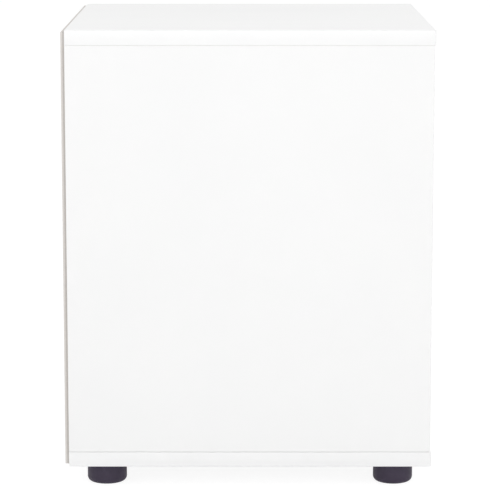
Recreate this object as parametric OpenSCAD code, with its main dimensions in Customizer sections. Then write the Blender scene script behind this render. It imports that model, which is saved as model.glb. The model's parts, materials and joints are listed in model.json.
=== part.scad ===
// Pedestal cabinet: a flat-pack carcass of melamine boards on four round glides,
// with three drawers on steel roller runners. Millimetres. The front faces -Y,
// +Z is up, and the origin is on the floor under the middle of the cabinet.

/* [Carcass] */
// Overall width
cabinet_width = 400; // [360:1:560]
// Depth of the top and bottom panels, from front to rear
carcass_depth = 390; // [380:1:560]
// Height of the carcass above its feet
carcass_height = 470; // [440:1:640]
// Thickness of the carcass boards
board = 16; // [15:0.5:19]
// How far the side panels stand back from the front of the top and bottom
side_setback = 1; // [0:0.5:4]
// Thickness of the edge bands
band = 1; // [0.5:0.5:2]

/* [Back panel] */
// Thickness of the back panel
back_board = 4; // [3:0.5:6]
// How far the back panel ends below the top of the carcass
back_short_top = 2; // [1:0.5:4]
// How far the back panel ends above the underside of the carcass
back_short_bottom = 3; // [1:0.5:4]
// How far the back panel ends inside each side of the carcass
back_short_side = 2; // [1:0.5:4]
// Length of the back panel's nails
nail_length = 20; // [15:1:30]
// Diameter of a nail's shank
nail_diameter = 1.6; // [1.2:0.1:2]
// Diameter of a nail's head
nail_head_diameter = 4; // [3:0.5:5]
// Thickness of a nail's head
nail_head_height = 1; // [0.6:0.1:1.5]

/* [Feet] */
// Diameter of a foot
foot_diameter = 43; // [36:1:50]
// Height of a foot
foot_height = 25; // [20:1:40]
// Distance from a foot's axis to the nearest edges of the carcass
foot_inset = 39; // [30:1:60]
// Radius of a foot's lower edge
foot_edge_radius = 5.5; // [2:0.5:8]
// Width of the small chamfer around a foot's upper edge
foot_chamfer = 0.6; // [0.2:0.1:1.5]
// Diameter of the recess for the screw in a foot's underside
foot_recess_diameter = 16; // [12:1:20]
// Depth of that recess
foot_recess_depth = 12; // [8:1:15]

/* [Drawer fronts] */
// Thickness of the drawer fronts
front_board = 16; // [15:0.5:19]
// Gap between a drawer front and the side panel on each side
front_side_gap = 2; // [1:0.5:4]
// Gap over the top drawer front and under the bottom one
front_end_gap = 2.5; // [1:0.5:4]
// Gap between two drawer fronts
front_gap = 3; // [2:0.5:5]
// How far the drawer fronts stand back from the front edges of the side panels
front_setback = 1; // [0:0.5:4]
// Width of the finger scoop in a front's upper edge
scoop_width = 90; // [70:1:130]
// Depth of the finger scoop
scoop_depth = 20; // [20:1:28]
// Radius of the finger scoop's lower corners
scoop_radius = 18; // [8:1:20]

/* [Drawer boxes] */
// Thickness of the drawer's side and back boards
drawer_board = 12; // [12:0.5:15]
// Height of the drawer sides
drawer_height = 100; // [95:1:105]
// Height of the drawer sides above the lower edge of the front
drawer_lift = 12; // [8:1:16]
// Thickness of the drawer's bottom board
bottom_board = 3; // [2.5:0.5:4]
// Depth of the groove that holds the bottom board
groove_depth = 6; // [4:0.5:7]
// Height of the groove above the lower edge of the drawer sides
groove_height = 10; // [9:0.5:12]
// Length of a drawer that stays in the cabinet when it is open
held_length = 90; // [60:5:150]
// Least space behind the drawers
rear_space = 20; // [10:1:40]

/* [Runners] */
// Step between the stock lengths of runners
runner_step = 50; // [25:5:50]
// Space between a drawer side and the side panel
runner_gap = 12.5; // [12.5:0.5:14]
// Thickness of the runners' steel
steel = 1.2; // [1:0.1:1.5]
// Diameter of the roller at the front of a cabinet rail
front_roller_diameter = 17.6; // [16:0.1:18]
// Diameter of the roller at the rear of a drawer rail
rear_roller_diameter = 16; // [14:0.1:17]
// Width of the rollers
roller_width = 6; // [5:0.1:6.4]
// Distance from a roller's axis to the end of its rail
roller_inset = 12; // [10:0.5:16]
// Diameter of a roller's axle
axle_diameter = 4.4; // [4:0.1:5]
// Height of the tabs that stop the rear rollers
stop_height = 4; // [3:0.5:6]

/* [Fittings] */
// Diameter of the cam discs
cam_diameter = 15; // [12:0.5:16]
// Thickness of the cam discs in the carcass sides
carcass_cam_depth = 12.5; // [11.5:0.5:13]
// Thickness of the cam discs in the drawer sides
drawer_cam_depth = 9.5; // [9:0.1:10]
// Distance from a cam's axis to the end of its board
cam_reach = 24; // [18:1:34]
// Distance from the carcass fittings to the front and rear of the side panels
fitting_inset = 50; // [45:1:70]
// Distance between a dowel and the cam or screw beside it
dowel_offset = 32; // [24:1:40]
// Diameter of the dowels
dowel_diameter = 8; // [6:0.5:9]
// Length of the dowels
dowel_length = 30; // [24:1:36]
// Length of the screws that hold the sides to the bottom
carcass_screw_length = 35; // [30:1:40]
// Length of the screws that hold the rails to the sides
rail_screw_length = 14; // [10:1:15]
// Length of the screws that hold the rails to the drawer sides
drawer_rail_screw_length = 10; // [7:0.5:12]
// Length of the screws that hold the drawer backs
drawer_back_screw_length = 30; // [24:1:40]
// Length of the screws that hold the feet
foot_screw_length = 24; // [20:1:26]

/* [Hidden] */
$fn = 48;
over = 1;                   // how far a cut runs past the face it opens
fit = 0.05;                 // clearance around a fastener and around an axle
pocket_play = 0.3;          // clearance around a bolt head inside its cam
roll_gap = 0.2;             // gap between a roller and the steel it runs on
channel_gap = 0.8;          // gap over the rear roller inside the cabinet rail
roller_rise = 0.1;          // how far the front roller stands above its rail
rail_clearance = 1;         // gap between a flange and the other rail's web
stop_gap = 0.3;             // gap between a roller and a stop at the end of its travel
axle_gap = 0.1;             // end play of a roller on its axle
groove_play = 0.2;          // gap over the bottom board in its groove
groove_end_play = 0.5;      // gap between the bottom board's edge and the groove's end
hole_end_play = 0.5;        // depth of a blind hole beyond the end of its fastener

// Places across the depth
front_y = -(carcass_depth + back_board) / 2;
rear_y = front_y + carcass_depth;
side_front_y = front_y + side_setback;
drawer_face_y = side_front_y + front_setback;
drawer_front_y = drawer_face_y + front_board;
runner_length = floor((rear_y - rear_space - drawer_front_y) / runner_step) * runner_step;
drawer_rear_y = drawer_front_y + runner_length;
drawer_travel = runner_length - held_length;

// Places across the height
bottom_top_z = foot_height + board;
carcass_top_z = foot_height + carcass_height;
top_under_z = carcass_top_z - board;
side_height = top_under_z - bottom_top_z;

// Places across the width
outer_x = cabinet_width / 2;
inner_x = outer_x - board;
board_middle_x = outer_x - board / 2;
drawer_outer_x = inner_x - runner_gap;
drawer_inner_x = drawer_outer_x - drawer_board;

// Drawers, counted from the bottom
LEVELS = ["lower", "middle", "upper"];
level_count = len(LEVELS);
front_height = (side_height - 2 * front_end_gap - (level_count - 1) * front_gap) / level_count;
front_width = 2 * (inner_x - front_side_gap);
front_pitch = front_height + front_gap;
function drawer_floor(level) = bottom_top_z + front_end_gap + level * front_pitch + drawer_lift;

// Runner section: u runs from the side panel towards the drawer, z from the rail's floor
rear_roller_radius = rear_roller_diameter / 2;
front_roller_radius = front_roller_diameter / 2;
rear_roller_z = rear_roller_radius + roll_gap;
channel_height = rear_roller_diameter + roll_gap + channel_gap;
cabinet_rail_top = channel_height + steel;
front_roller_top = cabinet_rail_top + roller_rise;
front_roller_z = front_roller_top - front_roller_radius;
drawer_flange_z = front_roller_top + roll_gap;
drawer_web_u = runner_gap - steel;
roller_u = (runner_gap - roller_width) / 2;
under_flange = 10;          // width of the drawer rail's flange under the drawer side

// Runner lengths
cabinet_rail_start = 2;     // from the back of the drawer fronts to the cabinet rail
drawer_rail_start = 1;      // from the back of the drawer fronts to the drawer rail
cabinet_rail_y = drawer_front_y + cabinet_rail_start;
drawer_rail_y = drawer_front_y + drawer_rail_start;
drawer_rail_length = runner_length - drawer_rail_start;
front_roller_y = cabinet_rail_y + roller_inset;
rear_roller_y = drawer_rear_y - roller_inset;
flange_start = 1.2;         // from the front roller to the cabinet rail's flanges
flange_y = front_roller_y + front_roller_radius + flange_start;
stop_reach = sqrt(pow(rear_roller_radius, 2) - pow(rear_roller_z - stop_height, 2)) + stop_gap;
open_stop_y = rear_roller_y - drawer_travel - stop_reach - steel;
closed_stop_y = rear_roller_y + stop_reach;

// Axles
axle_radius = axle_diameter / 2;
axle_shoulder_radius = axle_radius + 1;
axle_head_radius = axle_radius + 1.2;
axle_head_height = 1.2;
roller_recess_radius = axle_head_radius + 0.5;
roller_recess_depth = axle_head_height + 2 * axle_gap;

// Fasteners
bolt_thread_radius = 2.5;
bolt_thread_length = 11;
bolt_shaft_radius = 2;
bolt_head_radius = 2.6;
bolt_head_height = 2.4;
bolt_bore_radius = 4;
cam_radius = cam_diameter / 2;
cam_slot_width = 1.4;
cam_slot_length = 9;
cam_slot_depth = 2;
dowel_radius = dowel_diameter / 2;
dowel_in_panel = 12;        // length of a dowel inside the top or bottom panel
small_screw_radius = 1.75;
small_head_radius = 3.5;
small_head_height = 1.9;
carcass_screw_radius = 3;
carcass_head_radius = 5;
carcass_head_height = 3.5;
pan_head_radius = 3.2;
pan_head_height = 1.6;
foot_screw_radius = 2;
foot_head_radius = 4.2;
foot_head_height = 2.6;
nail_radius = nail_diameter / 2;
nail_head_radius = nail_head_diameter / 2;
bottom_nail_length = 14;

// Places of the fittings
fitting_ys = [side_front_y + fitting_inset, rear_y - fitting_inset];
dowel_ys = [fitting_ys[0] + dowel_offset, fitting_ys[1] - dowel_offset];
cam_z = top_under_z - cam_reach;
first_rail_hole = 45;       // from the front of a cabinet rail to its first screw
rail_hole_pitch = 128;
rail_hole_end = 20;         // least distance from the last screw to the rail's rear end
rail_holes = 1 + floor((runner_length - first_rail_hole - rail_hole_end) / rail_hole_pitch);
rail_hole_ys = [for (i = [0 : rail_holes - 1]) cabinet_rail_y + first_rail_hole + i * rail_hole_pitch];
rail_hole_z = channel_height / 2;
first_drawer_hole = 40;     // from the back of the drawer front to the first screw
drawer_hole_pitch = 160;
drawer_rail_hole_z = groove_height / 2;
drawer_rail_hole_ys = [for (i = [0, 1]) drawer_front_y + first_drawer_hole + i * drawer_hole_pitch];
drawer_cam_inset = 22;      // from the groove, and from the sides' upper edge
drawer_cam_zs = [groove_height + drawer_cam_inset, drawer_height - drawer_cam_inset];
drawer_cam_y = drawer_front_y + cam_reach;
drawer_bolt_x = drawer_outer_x - drawer_board / 2;
drawer_back_y = drawer_rear_y - drawer_board / 2;
bottom_top = groove_height + bottom_board;
back_screw_inset = 24;      // from the lower and upper edges of a drawer's back
drawer_back_screw_zs = [bottom_top + back_screw_inset, drawer_height - back_screw_inset];
bottom_nail_pitch = 120;
bottom_nail_xs = [for (i = [-1 : 1]) i * bottom_nail_pitch];

// Nails of the back panel, as [x, z]
side_nails = 4;
edge_nails = 3;
side_nail_pitch = side_height / side_nails;
edge_nail_pitch = 2 * inner_x / edge_nails;
back_nails = concat(
    [for (x = [-board_middle_x, board_middle_x], i = [0 : side_nails - 1])
        [x, bottom_top_z + (i + 0.5) * side_nail_pitch]],
    [for (z = [foot_height + board / 2, carcass_top_z - board / 2], i = [0 : edge_nails - 1])
        [(i + 0.5) * edge_nail_pitch - inner_x, z]]);

feet_xs = [-(outer_x - foot_inset), outer_x - foot_inset];
feet_ys = [front_y + foot_inset, rear_y - foot_inset];

CARCASS_NODES = [
    "top_panel", "bottom_panel", "left_side_panel", "right_side_panel", "back_panel",
    "panel_edge_bands", "side_edge_bands", "cam_fittings", "carcass_screws", "dowels",
    "foot_front_left", "foot_front_right", "foot_rear_left", "foot_rear_right", "foot_screws",
    "back_panel_nails", "rail_screws", "cabinet_roller_axles"];
LEVEL_NODES = [
    "left_cabinet_rail", "right_cabinet_rail", "front_rollers", "drawer_front",
    "drawer_left_side", "drawer_right_side", "drawer_back", "drawer_bottom",
    "left_drawer_rail", "right_drawer_rail", "rear_rollers", "rear_roller_axles",
    "drawer_screws", "drawer_cam_fittings"];
NODES = concat(CARCASS_NODES, [for (level = LEVELS, name = LEVEL_NODES) str(level, "_", name)]);
node = "all";

function shown(name) = node == "all" || node == name;

// Placing ---------------------------------------------------------------------

// Children drawn on the right (+X), mirrored to the left when side is -1.
module on_side(side) {
    if (side < 0)
        mirror([1, 0, 0]) children();
    else
        children();
}

// Children drawn with +X running from a side panel's inner face into the cabinet.
module from_side_face(side) {
    translate([side * inner_x, 0, 0])
        on_side(-side) children();
}

module at_each_foot() {
    for (x = feet_xs, y = feet_ys)
        translate([x, y, 0]) children();
}

// Fasteners, each with its head at z = 0 and its point towards +Z ---------------

// A countersunk screw. With play it is the hole that the screw sits in.
module countersunk(length, radius, head_radius, head_height, play = 0) {
    cylinder(r = radius + play, h = length + (play > 0 ? hole_end_play : 0));
    cylinder(r1 = head_radius + play, r2 = radius + play, h = head_height);
    if (play > 0)
        translate([0, 0, -over])
            cylinder(r = head_radius + play, h = over);
}

// A screw or nail with a flat head that lies below z = 0.
module headed(length, radius, head_radius, head_height) {
    cylinder(r = radius, h = length);
    translate([0, 0, -head_height])
        cylinder(r = head_radius, h = head_height);
}

// The bolt that a cam pulls on. It is screwed into a panel above z = 0.
module cam_bolt() {
    cylinder(r = bolt_thread_radius, h = bolt_thread_length);
    translate([0, 0, -cam_reach])
        cylinder(r = bolt_shaft_radius, h = cam_reach);
    translate([0, 0, -cam_reach - bolt_head_height / 2])
        cylinder(r = bolt_head_radius, h = bolt_head_height);
}

// A bolt's holes: the thread's hole above z = 0 and the shaft's bore below it.
module cam_bolt_holes() {
    cylinder(r = bolt_thread_radius + fit, h = bolt_thread_length + hole_end_play);
    translate([0, 0, -cam_reach])
        cylinder(r = bolt_bore_radius, h = cam_reach);
}

// A cam disc from z = 0 down into its board, with its bolt coming from +Y.
module cam(depth, bolt_depth) {
    difference() {
        translate([0, 0, -depth])
            cylinder(r = cam_radius, h = depth);
        translate([0, -bolt_head_radius, -bolt_depth])
            rotate([-90, 0, 0])
                cylinder(r = bolt_head_radius + pocket_play, h = cam_radius + bolt_head_radius + over);
        for (turn = [0, 90])
            rotate([0, 0, turn])
                translate([-cam_slot_length / 2, -cam_slot_width / 2, -cam_slot_depth])
                    cube([cam_slot_length, cam_slot_width, cam_slot_depth + over]);
    }
}

module cam_bore(depth) {
    translate([0, 0, -depth])
        cylinder(r = cam_radius + fit, h = depth + over);
}

// Rollers, on an axle that starts at z = 0 on the far face of its rail's web -----

module roller(radius) {
    difference() {
        translate([0, 0, roller_u])
            cylinder(r = radius, h = roller_width);
        translate([0, 0, roller_u - over])
            cylinder(r = axle_radius + fit, h = roller_width + 2 * over);
        translate([0, 0, roller_u + roller_width - roller_recess_depth])
            cylinder(r = roller_recess_radius, h = roller_recess_depth + over);
    }
}

module roller_axle() {
    head_z = roller_u + roller_width - roller_recess_depth + axle_gap;
    cylinder(r = axle_radius, h = head_z);
    translate([0, 0, steel])
        cylinder(r = axle_shoulder_radius, h = roller_u - steel - axle_gap);
    translate([0, 0, head_z])
        cylinder(r = axle_head_radius, h = axle_head_height);
}

// Holes that several panels share ------------------------------------------------

module back_nail_holes() {
    for (nail = back_nails)
        translate([nail[0], rear_y + back_board, nail[1]])
            rotate([90, 0, 0]) {
                cylinder(r = nail_radius + fit, h = nail_length + hole_end_play);
                translate([0, 0, -over])
                    cylinder(r = nail_head_radius + fit, h = over + nail_head_height);
            }
}

module dowel_holes(z) {
    for (side = [-1, 1], y = dowel_ys)
        translate([side * board_middle_x, y, z - hole_end_play])
            cylinder(r = dowel_radius + fit, h = dowel_length + 2 * hole_end_play);
}

module carcass_screw_holes() {
    for (side = [-1, 1], y = fitting_ys)
        translate([side * board_middle_x, y, foot_height])
            countersunk(carcass_screw_length, carcass_screw_radius,
                carcass_head_radius, carcass_head_height, fit);
}

module carcass_bolts_at() {
    for (side = [-1, 1], y = fitting_ys)
        translate([side * board_middle_x, y, top_under_z]) children();
}

top_dowel_z = top_under_z + dowel_in_panel - dowel_length;
bottom_dowel_z = bottom_top_z - dowel_in_panel;

// Carcass ------------------------------------------------------------------------

// A top or bottom board without its edge bands.
module panel_core(z) {
    translate([band - outer_x, front_y + band, z])
        cube([cabinet_width - 2 * band, carcass_depth - band, board]);
}

module top_panel() {
    color("whitesmoke")
        difference() {
            panel_core(top_under_z);
            carcass_bolts_at() cam_bolt_holes();
            dowel_holes(top_dowel_z);
            back_nail_holes();
        }
}

module bottom_panel() {
    color("whitesmoke")
        difference() {
            panel_core(foot_height);
            carcass_screw_holes();
            dowel_holes(bottom_dowel_z);
            back_nail_holes();
            at_each_foot()
                translate([0, 0, foot_recess_depth])
                    cylinder(r = foot_screw_radius + fit, h = foot_screw_length + hole_end_play);
        }
}

// Bands on the front and the two ends of the top and bottom panels.
module panel_edge_bands() {
    color("white")
        for (z = [foot_height, top_under_z])
            difference() {
                translate([-outer_x, front_y, z])
                    cube([cabinet_width, carcass_depth, board]);
                translate([band - outer_x, front_y + band, z - over])
                    cube([cabinet_width - 2 * band, carcass_depth, board + 2 * over]);
            }
}

module side_edge_bands() {
    color("white")
        for (side = [-1, 1])
            on_side(side)
                translate([inner_x, side_front_y, bottom_top_z])
                    cube([board, band, side_height]);
}

module side_panel(side) {
    color("whitesmoke")
        difference() {
            on_side(side)
                translate([inner_x, side_front_y + band, bottom_top_z])
                    cube([board, rear_y - side_front_y - band, side_height]);
            carcass_bolts_at() cam_bolt_holes();
            carcass_cams_at(side) cam_bore(carcass_cam_depth);
            carcass_screw_holes();
            dowel_holes(top_dowel_z);
            dowel_holes(bottom_dowel_z);
            back_nail_holes();
            for (level = [0 : level_count - 1])
                rail_screws_at(side, level) rail_screw(fit);
        }
}

module back_panel() {
    height = carcass_height - back_short_top - back_short_bottom;
    width = cabinet_width - 2 * back_short_side;
    color("tan")
        difference() {
            translate([-width / 2, rear_y, foot_height + back_short_bottom])
                cube([width, back_board, height]);
            back_nail_holes();
        }
}

module back_panel_nails() {
    color("silver")
        for (nail = back_nails)
            translate([nail[0], rear_y + back_board - nail_head_height, nail[1]])
                rotate([90, 0, 0])
                    headed(nail_length - nail_head_height, nail_radius, nail_head_radius, nail_head_height);
}

// Children drawn with a cam's face at z = 0, placed in one side panel's inner face.
module carcass_cams_at(side) {
    for (y = fitting_ys)
        translate([side * inner_x, y, cam_z])
            rotate([90, 0, 0])
                rotate([0, -90 * side, 0]) children();
}

module cam_fittings() {
    color("silver") {
        carcass_bolts_at() cam_bolt();
        for (side = [-1, 1])
            carcass_cams_at(side) cam(carcass_cam_depth, board / 2);
    }
}

module carcass_screws() {
    color("silver")
        for (side = [-1, 1], y = fitting_ys)
            translate([side * board_middle_x, y, foot_height])
                countersunk(carcass_screw_length, carcass_screw_radius,
                    carcass_head_radius, carcass_head_height);
}

module dowels() {
    color("burlywood")
        for (side = [-1, 1], y = dowel_ys, z = [bottom_dowel_z, top_dowel_z])
            translate([side * board_middle_x, y, z])
                cylinder(r = dowel_radius, h = dowel_length);
}

// Feet ---------------------------------------------------------------------------

module foot(x, y) {
    radius = foot_diameter / 2;
    base_radius = radius - foot_edge_radius;
    color("dimgray")
        translate([x, y, 0])
            difference() {
                rotate_extrude()
                    union() {
                        square([base_radius, foot_height]);
                        translate([0, foot_edge_radius])
                            square([radius, foot_height - foot_edge_radius - foot_chamfer]);
                        translate([base_radius, foot_edge_radius])
                            intersection() {
                                circle(r = foot_edge_radius);
                                translate([0, -foot_edge_radius])
                                    square(foot_edge_radius);
                            }
                        polygon([
                            [0, foot_height - foot_chamfer], [radius, foot_height - foot_chamfer],
                            [radius - foot_chamfer, foot_height], [0, foot_height]]);
                    }
                translate([0, 0, -over])
                    cylinder(d = foot_recess_diameter, h = foot_recess_depth + over);
                cylinder(r = foot_screw_radius + fit, h = foot_height + over);
            }
}

module foot_front_left() { foot(feet_xs[0], feet_ys[0]); }
module foot_front_right() { foot(feet_xs[1], feet_ys[0]); }
module foot_rear_left() { foot(feet_xs[0], feet_ys[1]); }
module foot_rear_right() { foot(feet_xs[1], feet_ys[1]); }

module foot_screws() {
    color("silver")
        at_each_foot()
            translate([0, 0, foot_recess_depth])
                headed(foot_screw_length, foot_screw_radius, foot_head_radius, foot_head_height);
}

// Cabinet rails ------------------------------------------------------------------

module rail_screw(play = 0) {
    countersunk(rail_screw_length, small_screw_radius, small_head_radius, small_head_height, play);
}

// Children drawn as a screw, placed in one cabinet rail and pointing into the panel.
module rail_screws_at(side, level) {
    from_side_face(side)
        for (y = rail_hole_ys)
            translate([steel, y, drawer_floor(level) + rail_hole_z])
                rotate([0, -90, 0]) children();
}

// Children drawn along +Z from the web's far face, placed at a front roller.
module front_rollers_at(side, level) {
    from_side_face(side)
        translate([0, front_roller_y, drawer_floor(level) + front_roller_z])
            rotate([0, 90, 0]) children();
}

module cabinet_rail(side, level) {
    floor_z = drawer_floor(level);
    flange_width = drawer_web_u - rail_clearance;
    flange_length = cabinet_rail_y + runner_length - flange_y;
    color("ghostwhite")
        difference() {
            from_side_face(side)
                translate([0, 0, floor_z]) {
                    translate([0, cabinet_rail_y, -steel])
                        cube([steel, runner_length, channel_height + 2 * steel]);
                    for (z = [-steel, channel_height])
                        translate([0, flange_y, z])
                            cube([flange_width, flange_length, steel]);
                    for (y = [open_stop_y, closed_stop_y])
                        translate([roller_u, y, -steel])
                            cube([roller_width, steel, steel + stop_height]);
                }
            rail_screws_at(side, level) rail_screw(fit);
            front_rollers_at(side, level)
                translate([0, 0, -over])
                    cylinder(r = axle_radius + fit, h = steel + 2 * over);
        }
}

module front_rollers(level) {
    color("ivory")
        for (side = [-1, 1])
            front_rollers_at(side, level) roller(front_roller_radius);
}

module cabinet_roller_axles() {
    color("silver")
        for (side = [-1, 1], level = [0 : level_count - 1])
            front_rollers_at(side, level) roller_axle();
}

module rail_screws() {
    color("silver")
        for (side = [-1, 1], level = [0 : level_count - 1])
            rail_screws_at(side, level) rail_screw();
}

// Drawers: each is drawn with z = 0 at the lower edge of its sides ------------------

module at_level(level) {
    translate([0, 0, drawer_floor(level)]) children();
}

// Children drawn as a bolt, screwed into the drawer front's back face.
module drawer_bolts_at() {
    for (side = [-1, 1], z = drawer_cam_zs)
        translate([side * drawer_bolt_x, drawer_front_y, z])
            rotate([90, 0, 0]) children();
}

// Children drawn with a cam's face at z = 0, placed in a drawer side's inner face.
module drawer_cams_at(side) {
    for (z = drawer_cam_zs)
        translate([side * drawer_inner_x, drawer_cam_y, z])
            rotate([180, 0, 0])
                rotate([0, -90 * side, 0]) children();
}

module drawer_back_screw(play = 0) {
    countersunk(drawer_back_screw_length, small_screw_radius, small_head_radius, small_head_height, play);
}

// Children drawn as a screw, pointing from a drawer side's outer face into the back.
module drawer_back_screws_at() {
    for (side = [-1, 1], z = drawer_back_screw_zs)
        from_side_face(side)
            translate([runner_gap, drawer_back_y, z])
                rotate([0, 90, 0]) children();
}

// Children drawn as a screw, pointing from a drawer rail's web into the drawer side.
module drawer_rail_screws_at() {
    for (side = [-1, 1], y = drawer_rail_hole_ys)
        from_side_face(side)
            translate([drawer_web_u, y, drawer_rail_hole_z])
                rotate([0, 90, 0]) children();
}

module bottom_nails_at() {
    for (x = bottom_nail_xs)
        translate([x, drawer_back_y, groove_height]) children();
}

// Children drawn along +Z from the drawer web's far face, placed at a rear roller.
module rear_rollers_at() {
    for (side = [-1, 1])
        from_side_face(side)
            translate([runner_gap, rear_roller_y, rear_roller_z])
                rotate([0, -90, 0]) children();
}

// The groove for the bottom board, in the front and in both sides.
module bottom_groove() {
    translate([-drawer_inner_x - groove_depth, drawer_front_y - groove_depth, groove_height])
        cube([
            2 * (drawer_inner_x + groove_depth),
            runner_length + groove_depth + over,
            bottom_board + groove_play]);
}

module scoop_outline() {
    radius = min(scoop_radius, scoop_depth);
    corner_x = scoop_width / 2 - radius;
    translate([-corner_x, 0])
        square([2 * corner_x, scoop_depth + over]);
    translate([-scoop_width / 2, radius])
        square([scoop_width, scoop_depth - radius + over]);
    for (x = [-corner_x, corner_x])
        translate([x, radius])
            circle(r = radius);
}

module drawer_front() {
    color("whitesmoke")
        difference() {
            translate([-front_width / 2, drawer_face_y, -drawer_lift])
                cube([front_width, front_board, front_height]);
            translate([0, drawer_front_y + over, front_height - drawer_lift - scoop_depth])
                rotate([90, 0, 0])
                    linear_extrude(front_board + 2 * over)
                        scoop_outline();
            drawer_bolts_at() cam_bolt_holes();
            bottom_groove();
        }
}

module drawer_side(side) {
    color("gainsboro")
        difference() {
            on_side(side)
                translate([drawer_inner_x, drawer_front_y, 0])
                    cube([drawer_board, runner_length, drawer_height]);
            bottom_groove();
            drawer_bolts_at() cam_bolt_holes();
            drawer_cams_at(side) cam_bore(drawer_cam_depth);
            drawer_back_screws_at() drawer_back_screw(fit);
            drawer_rail_screws_at()
                cylinder(r = small_screw_radius + fit, h = drawer_rail_screw_length + hole_end_play);
        }
}

module drawer_back() {
    color("gainsboro")
        difference() {
            translate([-drawer_inner_x, drawer_rear_y - drawer_board, bottom_top])
                cube([2 * drawer_inner_x, drawer_board, drawer_height - bottom_top]);
            drawer_back_screws_at() drawer_back_screw(fit);
            bottom_nails_at()
                cylinder(r = nail_radius + fit, h = bottom_nail_length + hole_end_play);
        }
}

module drawer_bottom() {
    half_width = drawer_inner_x + groove_depth - groove_end_play;
    front_end = drawer_front_y - groove_depth + groove_end_play;
    color("peru")
        difference() {
            translate([-half_width, front_end, groove_height])
                cube([2 * half_width, drawer_rear_y - front_end, bottom_board]);
            bottom_nails_at()
                translate([0, 0, -over])
                    cylinder(r = nail_radius + fit, h = bottom_board + 2 * over);
        }
}

module drawer_rail(side) {
    flange_u = steel + rail_clearance;
    web_height = drawer_flange_z + 2 * steel;
    color("ghostwhite")
        difference() {
            from_side_face(side) {
                translate([drawer_web_u, drawer_rail_y, -steel])
                    cube([steel, drawer_rail_length, web_height]);
                translate([flange_u, drawer_rail_y, drawer_flange_z])
                    cube([runner_gap - flange_u, drawer_rail_length, steel]);
                translate([drawer_web_u, drawer_rail_y, -steel])
                    cube([steel + under_flange, drawer_rail_length, steel]);
            }
            drawer_rail_screws_at()
                translate([0, 0, -over])
                    cylinder(r = small_screw_radius + fit, h = steel + 2 * over);
            rear_rollers_at()
                translate([0, 0, -over])
                    cylinder(r = axle_radius + fit, h = steel + 2 * over);
        }
}

module rear_rollers() {
    color("ivory")
        rear_rollers_at() roller(rear_roller_radius);
}

module rear_roller_axles() {
    color("silver")
        rear_rollers_at() roller_axle();
}

module drawer_screws() {
    color("silver") {
        drawer_back_screws_at() drawer_back_screw();
        drawer_rail_screws_at()
            headed(drawer_rail_screw_length, small_screw_radius, pan_head_radius, pan_head_height);
        bottom_nails_at()
            headed(bottom_nail_length, nail_radius, nail_head_radius, nail_head_height);
    }
}

module drawer_cam_fittings() {
    color("silver") {
        drawer_bolts_at() cam_bolt();
        for (side = [-1, 1])
            drawer_cams_at(side) cam(drawer_cam_depth, drawer_board / 2);
    }
}

// The cabinet ----------------------------------------------------------------------

if (shown("top_panel")) top_panel();
if (shown("bottom_panel")) bottom_panel();
if (shown("left_side_panel")) side_panel(-1);
if (shown("right_side_panel")) side_panel(1);
if (shown("back_panel")) back_panel();
if (shown("panel_edge_bands")) panel_edge_bands();
if (shown("side_edge_bands")) side_edge_bands();
if (shown("cam_fittings")) cam_fittings();
if (shown("carcass_screws")) carcass_screws();
if (shown("dowels")) dowels();
if (shown("foot_front_left")) foot_front_left();
if (shown("foot_front_right")) foot_front_right();
if (shown("foot_rear_left")) foot_rear_left();
if (shown("foot_rear_right")) foot_rear_right();
if (shown("foot_screws")) foot_screws();
if (shown("back_panel_nails")) back_panel_nails();
if (shown("rail_screws")) rail_screws();
if (shown("cabinet_roller_axles")) cabinet_roller_axles();

for (level = [0 : level_count - 1]) {
    name = str(LEVELS[level], "_");
    if (shown(str(name, "left_cabinet_rail"))) cabinet_rail(-1, level);
    if (shown(str(name, "right_cabinet_rail"))) cabinet_rail(1, level);
    if (shown(str(name, "front_rollers"))) front_rollers(level);
    if (shown(str(name, "drawer_front"))) at_level(level) drawer_front();
    if (shown(str(name, "drawer_left_side"))) at_level(level) drawer_side(-1);
    if (shown(str(name, "drawer_right_side"))) at_level(level) drawer_side(1);
    if (shown(str(name, "drawer_back"))) at_level(level) drawer_back();
    if (shown(str(name, "drawer_bottom"))) at_level(level) drawer_bottom();
    if (shown(str(name, "left_drawer_rail"))) at_level(level) drawer_rail(-1);
    if (shown(str(name, "right_drawer_rail"))) at_level(level) drawer_rail(1);
    if (shown(str(name, "rear_rollers"))) at_level(level) rear_rollers();
    if (shown(str(name, "rear_roller_axles"))) at_level(level) rear_roller_axles();
    if (shown(str(name, "drawer_screws"))) at_level(level) drawer_screws();
    if (shown(str(name, "drawer_cam_fittings"))) at_level(level) drawer_cam_fittings();
}
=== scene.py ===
# %% [markdown]
# # A pedestal cabinet with three drawers
#
# The real piece is a flat-pack cabinet that stands beside a desk: white melamine boards on four
# round plastic feet, and three drawers that roll out on steel runners. Every solid of it already
# exists as a CAD model. This lesson dresses that model for a picture: the boards get their eased
# edges and bands, the fittings their slots and threads, and every surface its own finish.
#
# The CAD model is loaded as a fixed frame first. All places and sizes below are read from it, so
# nothing has to be fitted by eye afterwards.

# %% Load the frame
import json
import math
from collections import namedtuple

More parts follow.
